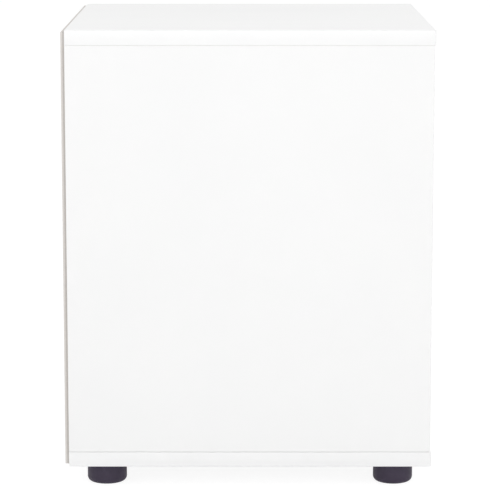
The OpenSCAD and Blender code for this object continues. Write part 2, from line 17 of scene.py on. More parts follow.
import bmesh
import bpy
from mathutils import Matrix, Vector

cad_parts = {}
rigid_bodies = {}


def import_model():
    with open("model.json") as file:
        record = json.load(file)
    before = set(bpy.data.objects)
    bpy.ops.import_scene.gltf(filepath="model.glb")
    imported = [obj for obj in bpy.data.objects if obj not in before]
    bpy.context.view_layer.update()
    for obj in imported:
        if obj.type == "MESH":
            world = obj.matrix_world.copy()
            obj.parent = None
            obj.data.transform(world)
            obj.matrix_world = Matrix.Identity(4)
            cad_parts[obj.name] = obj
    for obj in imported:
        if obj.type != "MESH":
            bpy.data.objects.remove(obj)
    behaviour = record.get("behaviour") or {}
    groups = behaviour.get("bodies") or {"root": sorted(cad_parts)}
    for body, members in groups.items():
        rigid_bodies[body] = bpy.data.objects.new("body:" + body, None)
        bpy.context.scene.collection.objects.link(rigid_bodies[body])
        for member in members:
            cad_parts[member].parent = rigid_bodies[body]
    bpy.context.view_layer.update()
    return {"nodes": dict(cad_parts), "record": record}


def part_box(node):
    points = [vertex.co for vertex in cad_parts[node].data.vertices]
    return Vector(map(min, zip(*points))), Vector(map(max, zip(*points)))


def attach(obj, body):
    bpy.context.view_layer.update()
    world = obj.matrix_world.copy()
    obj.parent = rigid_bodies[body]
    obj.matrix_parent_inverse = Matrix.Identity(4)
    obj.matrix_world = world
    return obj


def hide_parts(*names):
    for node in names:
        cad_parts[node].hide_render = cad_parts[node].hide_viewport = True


for leftover in list(bpy.data.objects):
    bpy.data.objects.remove(leftover)
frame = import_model()
BODIES = frame["record"]["behaviour"]["bodies"]
BODY_OF = {node: body for body, nodes in BODIES.items() for node in nodes}
LEVELS = ("lower", "middle", "upper")
MM = 0.001

# %% [markdown]
# ## Whole faces from loose triangles
#
# A CAD part arrives as loose triangles. It could be dressed as it is, but an edge can only be
# rounded where two faces share it, and a board is easier to work on as six faces than as sixty.
# So a copy is merged first: points that coincide become one, and so do triangles in one plane.

# %% Merge a copy
def merged(node):
    """A bmesh of a CAD part, with its loose triangles joined into whole faces."""
    shape = bmesh.new()
    shape.from_mesh(frame["nodes"][node].data)
    bmesh.ops.remove_doubles(shape, verts=shape.verts, dist=0.001 * MM)
    bmesh.ops.dissolve_limit(shape, angle_limit=math.radians(0.3), verts=shape.verts, edges=shape.edges)
    return shape


print("the left side panel has", len(merged("left_side_panel").faces), "whole faces")

# %% [markdown]
# ## How faces catch the light
#
# A board is flat up to its eased edge. Smooth shading all over would throw a false gradient across
# it, and flat shading all over would show every facet of a round screw head. So wide faces that are
# square to the cabinet stay flat, and the narrow and curved ones are smooth up to a crease angle.

# %% Shade flat and curved faces
FLAT_FROM = 0.9 * MM
CREASE = math.radians(35)


def shade(mesh):
    """Keep wide square faces flat, and round the rest up to the crease angle."""
    for face in mesh.polygons:
        corners = [mesh.vertices[i].co for i in face.vertices]
        reach = max((a - corners[0]).length for a in corners)
        square = max(abs(c) for c in face.normal) > 0.99999
        face.use_smooth = not (square and face.area > reach * FLAT_FROM)
    mesh.set_sharp_from_angle(angle=CREASE)
    mesh.update()


print("a square face stays flat from", FLAT_FROM / MM, "mm of width")

# %% [markdown]
# ## From shape to piece
#
# Each finished piece stands for one or more CAD parts. It could be parented and hidden by hand, but
# then a drawer's screws are soon left behind when the drawer opens. Here one call does it by name:
# the piece rides on the same body as its CAD parts and hides them.

# %% Make a piece
def new_piece(name, shape):
    """An object at the origin from a bmesh or a mesh, without normals stored by another program."""
    mesh = shape
    if isinstance(shape, bmesh.types.BMesh):
        mesh = bpy.data.meshes.new(name)
        shape.to_mesh(mesh)
        shape.free()
    stored = mesh.attributes.get("custom_normal")
    if stored:
        mesh.attributes.remove(stored)
    piece = bpy.data.objects.new(name, mesh)
    bpy.context.scene.collection.objects.link(piece)
    return piece


def settle(piece, nodes, materials=()):
    """Dress a piece, and let it ride with the CAD parts that it stands for."""
    for material in materials:
        piece.data.materials.append(material)
    shade(piece.data)
    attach(piece, BODY_OF[nodes[0]])
    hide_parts(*nodes)
    print(f"{piece.name}: {len(piece.data.polygons)} faces, rides on {BODY_OF[nodes[0]]}")
    return piece


print("the upper drawer's front will ride on", BODY_OF["upper_drawer_front"])

# %% [markdown]
# ## Writing node trees
#
# Finishes and repeated shapes are both trees of nodes. They are usually drawn with the mouse, and
# written out in a script, one link to a line, they soon fill pages. Two small classes keep them
# readable: a tree whose add() makes a node and feeds its sockets, and a value whose + - * and /
# become Math nodes, so that a sum in a tree is written as a sum.

# %% A value that can be summed
class Value:
    """A number in a node tree: sums with it add Math nodes."""

    def __init__(self, tree, socket):
        self.tree, self.socket = tree, socket

    def math(self, operation, *others):
        node = self.tree.add("ShaderNodeMath", dict(enumerate((self, *others))), operation=operation)
        return Value(self.tree, node.outputs[0])

    def __add__(self, other):
        return self.math("ADD", other)

    def __sub__(self, other):
        return self.math("SUBTRACT", other)

    def __mul__(self, other):
        return self.math("MULTIPLY", other)

    def __truediv__(self, other):
        return self.math("DIVIDE", other)

    def __neg__(self):
        return self * -1.0


print("a value knows + - * and /, and math() for the rest")


# %% A tree that feeds its nodes
class Tree:
    """Adds nodes to a tree, and feeds their sockets from numbers, values or other nodes."""

    def __init__(self, nodes_of):
        self.nodes, self.links = nodes_of.nodes, nodes_of.links

    def add(self, kind, feeds=None, **settings):
        node = self.nodes.new(kind)
        for name, value in settings.items():
            setattr(node, name, value)
        for key, value in (feeds or {}).items():
            self.feed(node, key, value)
        return node

    def feed(self, node, key, value):
        by_name = (s for s in node.inputs if s.name == key and s.enabled)
        socket = node.inputs[key] if isinstance(key, int) else next(by_name)
        if isinstance(value, bpy.types.Node):
            value = next(s for s in value.outputs if s.enabled)
        if isinstance(value, Value):
            value = value.socket
        if isinstance(value, bpy.types.NodeSocket):
            self.links.new(value, socket)
        else:
            socket.default_value = value

    def value(self, node, output=0):
        return Value(self, node.outputs[output])


print("a socket is named by its label, or by its number where two have the same label")

# %% [markdown]
# ## Finishes
#
# No surface of the real cabinet is one flat colour: melamine has a fine pearl, powder coat an orange
# peel, moulded plastic a spark grain. Scans of them could be wrapped on, but they would need an
# unwrapped mesh and would blur close up. Patterns worked out from each point's own place have
# neither fault. The place is in metres, so a scale of 1000 repeats about every millimetre.
#
# A number that is the same all over is set on the shader itself, where other programs find it too.

# %% Start a finish
def finish(name, roughness, **plain):
    """A material, the tree to add detail to, its shader, and the piece's own coordinates."""
    material = bpy.data.materials.new(name)
    material.use_nodes = True
    tree = Tree(material.node_tree)
    shader = material.node_tree.nodes["Principled BSDF"]
    shader.inputs["Roughness"].default_value = roughness
    for key, value in plain.items():
        shader.inputs[key.replace("_", " ")].default_value = value
    return material, tree, shader, tree.add("ShaderNodeTexCoord").outputs["Object"]


def noise(tree, place, scale, detail=2.0, stretch=(1.0, 1.0, 1.0)):
    """Noise that can be drawn out along an axis, as a grain is."""
    if stretch != (1.0, 1.0, 1.0):
        place = tree.add("ShaderNodeMapping", {"Vector": place, "Scale": stretch})
    return tree.value(tree.add("ShaderNodeTexNoise", {"Vector": place, "Scale": scale, "Detail": detail}))


def spread(tree, value, low, high, start=0.3, end=0.7):
    """A value between start and end, spread between two new limits."""
    return tree.value(tree.add("ShaderNodeMapRange", {0: value, 1: start, 2: end, 3: low, 4: high}))


print("noise lies mostly between 0.3 and 0.7, which spread() takes as its start and end")


# %% Colour and relief
def ramp(tree, value, *stops):
    """Colours along a value from 0 to 1: each stop is (position, (r, g, b))."""
    node = tree.add("ShaderNodeValToRGB", {"Fac": value})
    while len(node.color_ramp.elements) < len(stops):
        node.color_ramp.elements.new(1.0)
    for element, (position, colour) in zip(node.color_ramp.elements, stops):
        element.position, element.color = position, (*colour, 1.0)
    return node.outputs["Color"]


def clouded(tree, shader, value, dark, pale):
    """A base colour that drifts between two near tones."""
    tree.feed(shader, "Base Color", ramp(tree, value, (0.3, dark), (0.7, pale)))


def relief(tree, shader, height, depth, under=None):
    """Raise and lower the surface by up to a depth in metres."""
    feeds = {"Height": height, "Distance": depth, "Strength": 1.0}
    if under is not None:
        feeds["Normal"] = under
    bump = tree.add("ShaderNodeBump", feeds)
    tree.feed(shader, "Normal", bump)
    return bump


print("colours are linear: a melamine white of 0.92 shows as", round(255 * 0.92 ** (1 / 2.2)), "of 255")

# %% [markdown]
# ### White melamine
#
# Melamine is printed paper pressed onto chipboard against a steel plate with a fine pearl, so its
# gloss breaks up without any visible grain. One bump of noise would do for the pearl alone. A
# second, much longer one under it gives the faint waviness that long boards show in a reflection.

# %% Melamine
PEARL = 800.0


def white_board():
    material, tree, shader, place = finish("white_melamine", 0.64, Specular_IOR_Level=0.25)
    clouded(tree, shader, noise(tree, place, 9.0, 3.0), (0.914, 0.915, 0.914), (0.926, 0.926, 0.924))
    tree.feed(shader, "Roughness", spread(tree, noise(tree, place, 260.0), 0.6, 0.68))
    pearl = relief(tree, shader, noise(tree, place, PEARL, 1.0), 0.035 * MM)
    relief(tree, shader, noise(tree, place, 60.0), 0.05 * MM, under=pearl)
    return material


MELAMINE = white_board()
print("the pearl repeats about every", round(1 / PEARL / MM, 2), "mm")

# %% [markdown]
# ### Edge band
#
# The plastic band on the boards' edges comes from a smooth roll and is scraped along its length. It
# could share the melamine, but on a real cabinet the edges are told from the faces by their gloss,
# so the band is its own finish: smoother, and a hint cooler.

# %% Band
def band_strip():
    material, tree, shader, place = finish("white_edge_band", 0.33)
    clouded(tree, shader, noise(tree, place, 14.0), (0.914, 0.916, 0.917), (0.927, 0.928, 0.928))
    tree.feed(shader, "Roughness", spread(tree, noise(tree, place, 400.0), 0.28, 0.4))
    relief(tree, shader, noise(tree, place, 500.0, 3.0), 0.008 * MM)
    return material


BAND = band_strip()
print("band:", BAND.name)

# %% [markdown]
# ### Raw chipboard
#
# Where a board's rear edge has no band, its core shows: wood chips of many browns, pressed together.
# Noise alone looks like stone. Cells of one colour each look like chips, and fine fibres drawn out
# along one way break up their straight borders.

# %% Chipboard core
def chip_core():
    material, tree, shader, place = finish("raw_chipboard", 0.85)
    chips = tree.add("ShaderNodeTexVoronoi", {"Vector": place, "Scale": 640.0, "Randomness": 1.0})
    grey = tree.value(tree.add("ShaderNodeRGBToBW", {"Color": chips.outputs["Color"]}))
    fibres = noise(tree, place, 1800.0, 4.0, stretch=(0.35, 1.0, 1.0))
    browns = ramp(tree, grey * 0.6 + fibres * 0.45, (0.25, (0.25, 0.155, 0.085)),
                  (0.5, (0.48, 0.345, 0.215)), (0.62, (0.57, 0.43, 0.28)), (0.8, (0.66, 0.53, 0.37)))
    tree.feed(shader, "Base Color", browns)
    relief(tree, shader, tree.value(chips, "Distance") + fibres, 0.25 * MM)
    return material


CHIPBOARD = chip_core()
print("core:", CHIPBOARD.name)

# %% [markdown]
# ### The back panel's edge and skin
#
# The back panel is thin fibreboard, pressed so fine that its cut edge is an even warm grey. Its inner
# half is painted darker and its outer half lighter: painted shade, where the carcass's edge shades the
# panel. Two pieces glued together would show that too. One ramp across the thickness is simpler and
# keeps the panel one solid. The ramp's ends are read from the CAD part.

# %% Fibreboard edge
def fibre_edge(inner_y, outer_y):
    material, tree, shader, place = finish("fibreboard_edge_and_painted_shade", 0.7)
    across = tree.value(tree.add("ShaderNodeSeparateXYZ", {"Vector": place}), "Y")
    fibres = noise(tree, place, 700.0, 4.0, stretch=(1.0, 3.0, 1.0))
    depth = spread(tree, across, 0.0, 1.0, inner_y, outer_y) + spread(tree, fibres, -0.06, 0.06)
    # Darker inner half, lighter outer half: painted shade from the carcass's edge, over the edge's own warm
    # grey.
    grey_and_painted_shade = ramp(tree, depth, (0.0, (0.56, 0.535, 0.515)), (0.42, (0.52, 0.5, 0.485)),
                  (0.55, (0.67, 0.645, 0.62)), (1.0, (0.71, 0.68, 0.655)))
    tree.feed(shader, "Base Color", grey_and_painted_shade)
    relief(tree, shader, fibres, 0.06 * MM)
    return material


def lacquer_skin():
    material, tree, shader, place = finish("lacquered_fibreboard", 0.5)
    clouded(tree, shader, noise(tree, place, 35.0, 4.0), (0.7, 0.675, 0.65), (0.725, 0.7, 0.675))
    tree.feed(shader, "Roughness", spread(tree, noise(tree, place, 300.0), 0.42, 0.58))
    relief(tree, shader, noise(tree, place, 900.0, 3.0), 0.03 * MM)
    return material


back_low, back_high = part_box("back_panel")
FIBRE_EDGE_AND_SHADE, LACQUER = fibre_edge(back_low.y, back_high.y), lacquer_skin()
print("the back's edge runs from y =", round(back_low.y / MM, 1), "to", round(back_high.y / MM, 1), "mm")

# %% [markdown]
# ### Linen foil
#
# The drawer sides are wrapped in a pale grey foil that is embossed like linen. A woven texture could
# be modelled thread by thread, but ribs under a millimetre apart are finer than any mesh should be.
# Two sets of waves that cross, multiplied, give the same small squares as relief and as tint.

# %% Foil for the drawer sides
LINEN_RIB = 0.9 * MM
WAVE_SCALE = 2 * math.pi / 20 / LINEN_RIB


def linen_foil():
    material, tree, shader, place = finish("linen_foil", 0.5)
    feeds = {"Vector": place, "Scale": WAVE_SCALE, "Distortion": 1.2, "Detail": 2.0, "Detail Scale": 0.4}
    threads = [
        tree.add("ShaderNodeTexWave", feeds, wave_type="BANDS", bands_direction=way) for way in ("Y", "Z")]
    weave = tree.value(threads[0], "Fac") * threads[1].outputs["Fac"]
    tint = weave + spread(tree, noise(tree, place, 25.0, 3.0), -0.25, 0.25)
    tree.feed(shader, "Base Color", ramp(tree, tint, (0.0, (0.69, 0.69, 0.68)), (1.0, (0.79, 0.79, 0.78))))
    relief(tree, shader, weave, 0.12 * MM)
    return material


LINEN = linen_foil()
print("linen ribs every", round(LINEN_RIB / MM, 2), "mm")

# %% [markdown]
# ### The drawer's bottom
#
# A drawer's bottom is thin fibreboard, painted white above and left raw below. Paint is sprayed, so
# it has a fine even stipple. The raw side shows brown fibres in soft patches.

# %% Painted and raw fibreboard
def painted_board():
    material, tree, shader, place = finish("painted_fibreboard", 0.45)
    clouded(tree, shader, noise(tree, place, 20.0, 4.0), (0.8, 0.8, 0.785), (0.83, 0.83, 0.815))
    relief(tree, shader, noise(tree, place, 1100.0, 3.0), 0.02 * MM)
    return material


def raw_board():
    material, tree, shader, place = finish("raw_fibreboard", 0.75)
    fibres = noise(tree, place, 240.0, 6.0)
    brown = ramp(tree, fibres, (0.25, (0.2, 0.125, 0.07)), (0.75, (0.33, 0.22, 0.13)))
    tree.feed(shader, "Base Color", brown)
    relief(tree, shader, fibres, 0.08 * MM)
    return material


PAINTED, RAW_FIBRE = painted_board(), raw_board()
print("bottom:", PAINTED.name, "above,", RAW_FIBRE.name, "below")

# %% [markdown]
# ### Runner steel, nylon and zinc
#
# The runners are thin steel strip, powder coated white: the powder melts into a skin with a faint
# orange peel. The rollers are natural nylon, a little ivory, and light sinks into it, which is why a
# little subsurface is used and not just a paler colour. Screws, axles and cams are zinc plated,
# with the uneven bluish and yellowish cast of the plating bath.

# %% Powder coat
def powder_coat():
    material, tree, shader, place = finish("white_powder_coat", 0.36)
    clouded(tree, shader, noise(tree, place, 30.0, 3.0), (0.78, 0.785, 0.785), (0.81, 0.812, 0.81))
    tree.feed(shader, "Roughness", spread(tree, noise(tree, place, 350.0), 0.3, 0.42))
    relief(tree, shader, noise(tree, place, 650.0, 1.0), 0.04 * MM)
    return material


STEEL = powder_coat()
print("runners:", STEEL.name)


# %% Nylon and zinc
def nylon():
    material, tree, shader, place = finish("natural_nylon", 0.42, Subsurface_Weight=0.15,
                                           Subsurface_Scale=0.002)
    clouded(tree, shader, noise(tree, place, 180.0, 3.0), (0.7, 0.685, 0.63), (0.75, 0.735, 0.68))
    relief(tree, shader, noise(tree, place, 1500.0), 0.015 * MM)
    return material


def zinc():
    material, tree, shader, place = finish("zinc_plate", 0.35, Metallic=1.0)
    cast = ramp(tree, noise(tree, place, 320.0, 3.0), (0.3, (0.58, 0.6, 0.64)), (0.5, (0.66, 0.66, 0.66)),
                (0.7, (0.7, 0.67, 0.6)))
    tree.feed(shader, "Base Color", cast)
    tree.feed(shader, "Roughness", spread(tree, noise(tree, place, 900.0), 0.26, 0.46))
    relief(tree, shader, noise(tree, place, 2200.0), 0.01 * MM)
    return material


NYLON, ZINC = nylon(), zinc()
print("rollers:", NYLON.name, "and fittings:", ZINC.name)

# %% [markdown]
# ### Beech dowels
#
# Beech is pale and pinkish, with short dark flecks along the grain. A wood texture of rings suits a
# plank. A dowel is too thin to show rings, so two noises drawn out along it are enough.

# %% Beech
def beech():
    material, tree, shader, place = finish("beech", 0.6)
    grain = noise(tree, place, 160.0, 4.0, stretch=(1.0, 1.0, 0.08))
    flecks = noise(tree, place, 900.0, stretch=(1.0, 1.0, 0.2))
    mixed = grain * 0.7 + flecks * 0.3
    tree.feed(shader, "Base Color", ramp(tree, mixed, (0.3, (0.4, 0.22, 0.11)), (0.48, (0.56, 0.36, 0.2)),
                                         (0.7, (0.66, 0.46, 0.28))))
    relief(tree, shader, mixed, 0.08 * MM)
    return material


BEECH = beech()
print("dowels:", BEECH.name)

# %% [markdown]
# ### The feet's plastic
#
# The feet are dark slate polypropylene, moulded in a tool whose walls were eroded by sparks. That
# leaves a field of tiny craters, even and matt. Cells, not noise, give craters that touch. The
# plastic reflects less than most, or the feet's rims would shine paler than their middle.

# %% Slate plastic
def slate_plastic():
    material, tree, shader, place = finish("slate_plastic", 0.52, Specular_IOR_Level=0.22)
    clouded(tree, shader, noise(tree, place, 55.0, 3.0), (0.052, 0.041, 0.066), (0.065, 0.053, 0.082))
    tree.feed(shader, "Roughness", spread(tree, noise(tree, place, 500.0), 0.46, 0.6))
    sparks = tree.add("ShaderNodeTexVoronoi", {"Vector": place, "Scale": 1900.0}).outputs["Distance"]
    grain = relief(tree, shader, sparks, 0.06 * MM)
    relief(tree, shader, noise(tree, place, 130.0), 0.05 * MM, under=grain)
    return material


SLATE = slate_plastic()
print(len([m for m in bpy.data.materials if m.users == 0]), "finishes wait for their pieces")

# %% [markdown]
# ## Carcass boards
#
# The cabinet is mostly board, and a real board is never razor sharp: its edges are broken by a tenth
# of a millimetre, which gives each a thin highlight and leaves a hairline beside its band. A Bevel
# modifier would round the bores and grooves as well. In mesh code the edges can be picked: only
# outer corners that are sharp, and longer than anything in a bore, are eased.

# %% Ease edges
def ease(shape, width, steps=1, shortest=6 * MM, only=lambda edge: True):
    """Round the sharp outer edges of a shape. Short ones, as around a hole, are left alone."""
    edges = [
        e for e in shape.edges
        if len(e.link_faces) == 2 and e.calc_length() > shortest
        and e.calc_face_angle_signed(0) > math.radians(50) and only(e)
    ]
    bmesh.ops.bevel(shape, geom=edges, offset=width, segments=steps, profile=0.5, affect="EDGES",
                    clamp_overlap=True)
    return len(edges)


trial = merged("top_panel")
print("the top panel has", ease(trial, 0.1 * MM), "edges to ease")
trial.free()

# %% [markdown]
# ### Panels with a core
#
# A panel is a copy of its CAD part, so every bore is where it should be. It has two finishes: one
# for its faces, and one for the core, on the faces where the saw went through and no band was glued.
# Two materials on one mesh are closer to the real board than a separate strip for each raw edge.

# %% Top and bottom panel
BOARD_EASE = 0.12 * MM


def eased(node):
    """A CAD part with its edges broken."""
    shape = merged(node)
    ease(shape, BOARD_EASE)
    return shape


def board(kind, node, shape, materials, is_core):
    """A finished board, with the second material on the faces that is_core picks."""
    for face in shape.faces:
        face.material_index = int(is_core(face))
    return settle(new_piece(f"{kind}_{node}", shape), [node], materials)


for node in ("top_panel", "bottom_panel"):
    board("eased", node, eased(node), (MELAMINE, CHIPBOARD),
          lambda face: face.normal.y > 0.9)

# %% [markdown]
# ### Side panels
#
# A side panel stands on the bottom panel, and from outside their joint is the darkest line of the
# whole cabinet. A dark line could be painted there, but it would stay dark in every light. So the
# foot of the panel is set back a few millimetres, over less than half a millimetre of height, and
# the gap shades itself.

# %% Side panels with a shadow gap
SHADOW_GAP, GAP_DEPTH, GAP_SLOPE = 0.4 * MM, 2.5 * MM, 0.02 * MM


def with_shadow_gap(node):
    """An eased side panel whose outer face is set back along its foot."""
    shape = eased(node)
    low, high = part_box(node)
    for rise in (SHADOW_GAP, SHADOW_GAP + GAP_SLOPE):
        everything = shape.verts[:] + shape.edges[:] + shape.faces[:]
        bmesh.ops.bisect_plane(shape, geom=everything, plane_co=(0, 0, low.z + rise), plane_no=(0, 0, 1))
    limit = max(abs(low.x), abs(high.x)) - GAP_DEPTH
    for vert in shape.verts:
        if vert.co.z < low.z + SHADOW_GAP + GAP_SLOPE / 2 and abs(vert.co.x) > limit:
            vert.co.x = math.copysign(limit, vert.co.x)
    return shape


for node in ("left_side_panel", "right_side_panel"):
    board("eased", node, with_shadow_gap(node), (MELAMINE, CHIPBOARD),
          lambda face: face.normal.y > 0.9 or abs(face.normal.z) > 0.9)

# %% [markdown]
# ### Back panel
#
# The back is thin fibreboard with lacquer on both faces. Its core shows all round, where it was cut.

# %% Back panel
# The edge's finish carries painted shade on its inner half.
board("eased", "back_panel", eased("back_panel"), (LACQUER, FIBRE_EDGE_AND_SHADE),
      lambda face: abs(face.normal.y) < 0.9)

# %% [markdown]
# ## Drawer boxes
#
# Foil is folded over the upper edge of a drawer side, so that edge is round and shows no joint,
# while the sawn ends and the lower edge stay raw. The fold is the same rounding of edges with a
# larger width and more steps, and it is done first, because a rounded edge is too blunt to be eased.

# %% Drawer sides, backs and bottoms
FOLD_RADIUS = 1.6 * MM


def folded(node):
    """A drawer board with a round upper edge."""
    shape = merged(node)
    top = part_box(node)[1].z
    ease(shape, FOLD_RADIUS, steps=4, shortest=200 * MM,
         only=lambda edge: all(abs(v.co.z - top) < 0.01 * MM for v in edge.verts))
    ease(shape, BOARD_EASE)
    return shape


for level in LEVELS:
    for part in ("left_side", "right_side"):
        node = f"{level}_drawer_{part}"
        board("wrapped", node, folded(node), (LINEN, CHIPBOARD),
              lambda face: face.normal.z < -0.9 or abs(face.normal.y) > 0.9)
    node = f"{level}_drawer_back"
    board("wrapped", node, folded(node), (LINEN, CHIPBOARD),
          lambda face: face.normal.z < -0.9)
    node = f"{level}_drawer_bottom"
    board("eased", node, eased(node), (RAW_FIBRE, PAINTED),
          lambda face: face.normal.z > 0.9)

# %% [markdown]
# ## Runner profiles
#
# A runner is folded from steel strip a little over a millimetre thick. Powder coat pulls back from
# a sharp edge and flows round it, so every long edge is rounded by almost half the strip. A sweep of
# the profile would give that too, but the CAD part already has its screw holes and cut ends.

# %% Rails
COATED_EDGE = 0.42 * MM


def rail(node):
    shape = merged(node)
    ease(shape, COATED_EDGE, steps=3, shortest=3 * MM)
    return settle(new_piece("coated_" + node, shape), [node], (STEEL,))


for level in LEVELS:
    for side in ("left", "right"):
        rail(f"{level}_{side}_cabinet_rail")
        rail(f"{level}_{side}_drawer_rail")

# %% [markdown]
# ## Shapes that grow from a rule
#
# The bands follow an edge, and the rest of the hardware repeats: dozens of screws, rows of nails,
# twelve rollers. Each could be modelled once and copied by hand. Geometry Nodes are the better tool
# here: one tree for each kind, with its sizes as named inputs, so that a longer screw is the same
# tree with one other number. What a tree grows is then kept as one plain mesh.

# %% A tree with named sizes
def label(name):
    return name.replace("_", " ").capitalize()


class SizeTree(Tree):
    """A Geometry Nodes tree with a named input for each of its sizes."""

    KINDS = {int: "NodeSocketInt", float: "NodeSocketFloat", tuple: "NodeSocketVector"}

    def __init__(self, name, **sizes):
        self.group = bpy.data.node_groups.new(name, "GeometryNodeTree")
        super().__init__(self.group)
        sockets = self.group.interface
        sockets.new_socket("Geometry", in_out="OUTPUT", socket_type="NodeSocketGeometry")
        sockets.new_socket("Geometry", in_out="INPUT", socket_type="NodeSocketGeometry")
        for size, value in sizes.items():
            kind = self.KINDS[type(value)]
            sockets.new_socket(label(size), in_out="INPUT", socket_type=kind).default_value = value
        sockets.new_socket("Material", in_out="INPUT", socket_type="NodeSocketMaterial")
        self.given = self.nodes.new("NodeGroupInput").outputs
        for size in sizes:
            setattr(self, size, Value(self, self.given[label(size)]))

    def end(self, shape):
        """Turn instances into mesh and give it its material."""
        real = self.add("GeometryNodeRealizeInstances", {"Geometry": shape})
        dressed = self.add("GeometryNodeSetMaterial", {"Geometry": real, "Material": self.given["Material"]})
        self.links.new(dressed.outputs[0], self.nodes.new("NodeGroupOutput").inputs[0])
        return self


print("a size called head_radius will be the input", label("head_radius"))


# %% Keep what a tree grows
def grown(name, start, tree, material, **sizes):
    """Run a tree on a mesh, and keep its result as one plain mesh with its faces outwards."""
    piece = new_piece(name, start)
    modifier = piece.modifiers.new(tree.group.name, "NODES")
    modifier.node_group = tree.group
    values = {label(size): value for size, value in sizes.items()}
    values["Material"] = material
    for socket in tree.group.interface.items_tree:
        if socket.in_out == "INPUT" and socket.name in values:
            modifier[socket.identifier] = values[socket.name]
    bpy.context.view_layer.update()
    evaluated = piece.evaluated_get(bpy.context.evaluated_depsgraph_get())
    mesh = bpy.data.meshes.new_from_object(evaluated)
    piece.modifiers.clear()
    shape = bmesh.new()
    shape.from_mesh(mesh)
    bmesh.ops.remove_doubles(shape, verts=shape.verts, dist=0.001 * MM)
    bmesh.ops.recalc_face_normals(shape, faces=shape.faces)
    shape.to_mesh(mesh)
    shape.free()
    mesh.name = name
    piece.data = mesh
    return piece


print("a grown piece keeps no modifier")

# %% [markdown]
# ### Measure the solids of a part
#
# One CAD part can hold many equal solids, such as all the nails of the back panel. To put a detailed
# nail on each, their places are measured from the mesh: points joined by edges belong to one solid,
# and its box gives its place. A list of places typed in by hand would have to be kept up to date.

# %% Solids and their boxes
def solids_of(node):
    """The corner points of each separate solid of a CAD part."""
    shape = bmesh.new()
    shape.from_mesh(frame["nodes"][node].data)
    bmesh.ops.remove_doubles(shape, verts=shape.verts, dist=0.001 * MM)
    waiting, solids = set(shape.verts), []
    while waiting:
        found, edge_of_search = set(), [waiting.pop()]
        while edge_of_search:
            vert = edge_of_search.pop()
            found.add(vert)
            near = {e.other_vert(vert) for e in vert.link_edges} & waiting
            waiting -= near
            edge_of_search += near
        solids.append([v.co.copy() for v in found])
    shape.free()
    return sorted(solids, key=lambda points: tuple(round(c, 5) for c in box_of(points)[0]))


def box_of(points):
    """Lowest and highest corner of some points."""
    return Vector(map(min, zip(*points))), Vector(map(max, zip(*points)))


print("the carcass has", len(solids_of("panel_edge_bands")), "band rings and",
      len(solids_of("side_edge_bands")), "band strips")

# %% [markdown]
# ### A tree for edge bands
#
# A band is one profile all the way: a strip as wide as the board is thick, with its two outer
# corners scraped round. So it is swept along the board's edge, and where two straight edges meet the
# path itself is slightly rounded. Bevelling a thin box would also round the corners that are glued.

# %% Band tree
BAND_THICKNESS = 1 * MM
OUTER_CORNERS = 0.5  # the middle of corners 0 and 1, which lie on the outer side of the strip


def band_tree():
    tree = SizeTree("edge band", thickness=BAND_THICKNESS, width=16 * MM, scraped_radius=0.45 * MM,
                    corner_radius=1.2 * MM, across=(0.0, 0.0, 1.0))
    path = tree.add("GeometryNodeMeshToCurve", {0: tree.given["Geometry"]})
    rounded = tree.add("GeometryNodeFilletCurve", {
        "Curve": path, "Radius": tree.corner_radius, "Count": 4, "Limit Radius": True}, mode="POLY")
    facing = tree.add("GeometryNodeSetCurveNormal", {"Curve": rounded, "Normal": tree.across}, mode="FREE")
    strip = tree.add("GeometryNodeCurvePrimitiveQuadrilateral", {
        "Width": tree.width, "Height": tree.thickness})
    index = tree.value(tree.add("GeometryNodeInputIndex"))
    radius = index.math("COMPARE", OUTER_CORNERS, 0.6) * tree.scraped_radius + 0.05 * MM
    scraped = tree.add("GeometryNodeFilletCurve", {
        "Curve": strip, "Radius": radius, "Count": 4, "Limit Radius": True}, mode="POLY")
    return tree.end(tree.add("GeometryNodeCurveToMesh", {
        "Curve": facing, "Profile Curve": scraped, "Fill Caps": True}))


EDGE_BAND = band_tree()
print("band:", BAND_THICKNESS / MM, "mm thick")


# %% A path to sweep along
def path_of(*runs, closed=False):
    """A mesh of edges along one or more runs of points."""
    verts, edges = [], []
    for run in runs:
        first = len(verts)
        verts += [tuple(p) for p in run]
        edges += [(i, i + 1) for i in range(first, len(verts) - 1)]
        if closed:
            edges.append((len(verts) - 1, first))
    mesh = bpy.data.meshes.new("path")
    mesh.from_pydata(verts, edges, [])
    return mesh


triangle = path_of([(0, 0, 0), (1, 0, 0), (1, 1, 0)], closed=True)
print("a closed path through three points has", len(triangle.edges), "edges")
bpy.data.meshes.remove(triangle)

# %% [markdown]
# ### Bands of the carcass
#
# The top and the bottom panel have a band along their left, front and right edges in one piece, bent
# round the front corners. Each side panel has a straight strip on its front edge. Only the middle
# line of each band is needed as a path, and it lies half a band inside the solid's box.

# %% Bands round the panels and on the sides
half_band = Vector((BAND_THICKNESS / 2, BAND_THICKNESS / 2, 0))
rings, strips = [], []
for points in solids_of("panel_edge_bands"):
    low, high = box_of(points)
    middle = (low.z + high.z) / 2
    near, far = low + half_band, high - half_band
    rings.append([(near.x, high.y, middle), (near.x, near.y, middle), (far.x, near.y, middle),
                  (far.x, high.y, middle)])
for points in solids_of("side_edge_bands"):
    low, high = box_of(points)
    centre = (low + high) / 2
    strips.append([(centre.x, centre.y, high.z), (centre.x, centre.y, low.z)])
panel_bands = grown("panel_bands", path_of(*rings), EDGE_BAND, BAND)
settle(panel_bands, ["panel_edge_bands"])
side_bands = grown("side_bands", path_of(*strips), EDGE_BAND, BAND, across=(1.0, 0.0, 0.0))
settle(side_bands, ["side_edge_bands"])

# %% [markdown]
# ## Drawer fronts
#
# A drawer front is a board whose band goes all the way round, down into the scoop that is its
# handle. The CAD part is one solid, so it is taken apart here: the outline of its widest face, drawn
# in by one band, gives the core, and the same outline drawn in by half a band gives the path for the
# band. Scaling the core down would be quicker, but a scaled scoop no longer fits its band.

# %% Draw in an outline
def outline_of(shape, way):
    """The corners of the widest face that looks one way, in order."""
    facing = [f for f in shape.faces if f.normal.dot(way) > 0.999]
    return [v.co.copy() for v in max(facing, key=lambda f: f.calc_area()).verts]


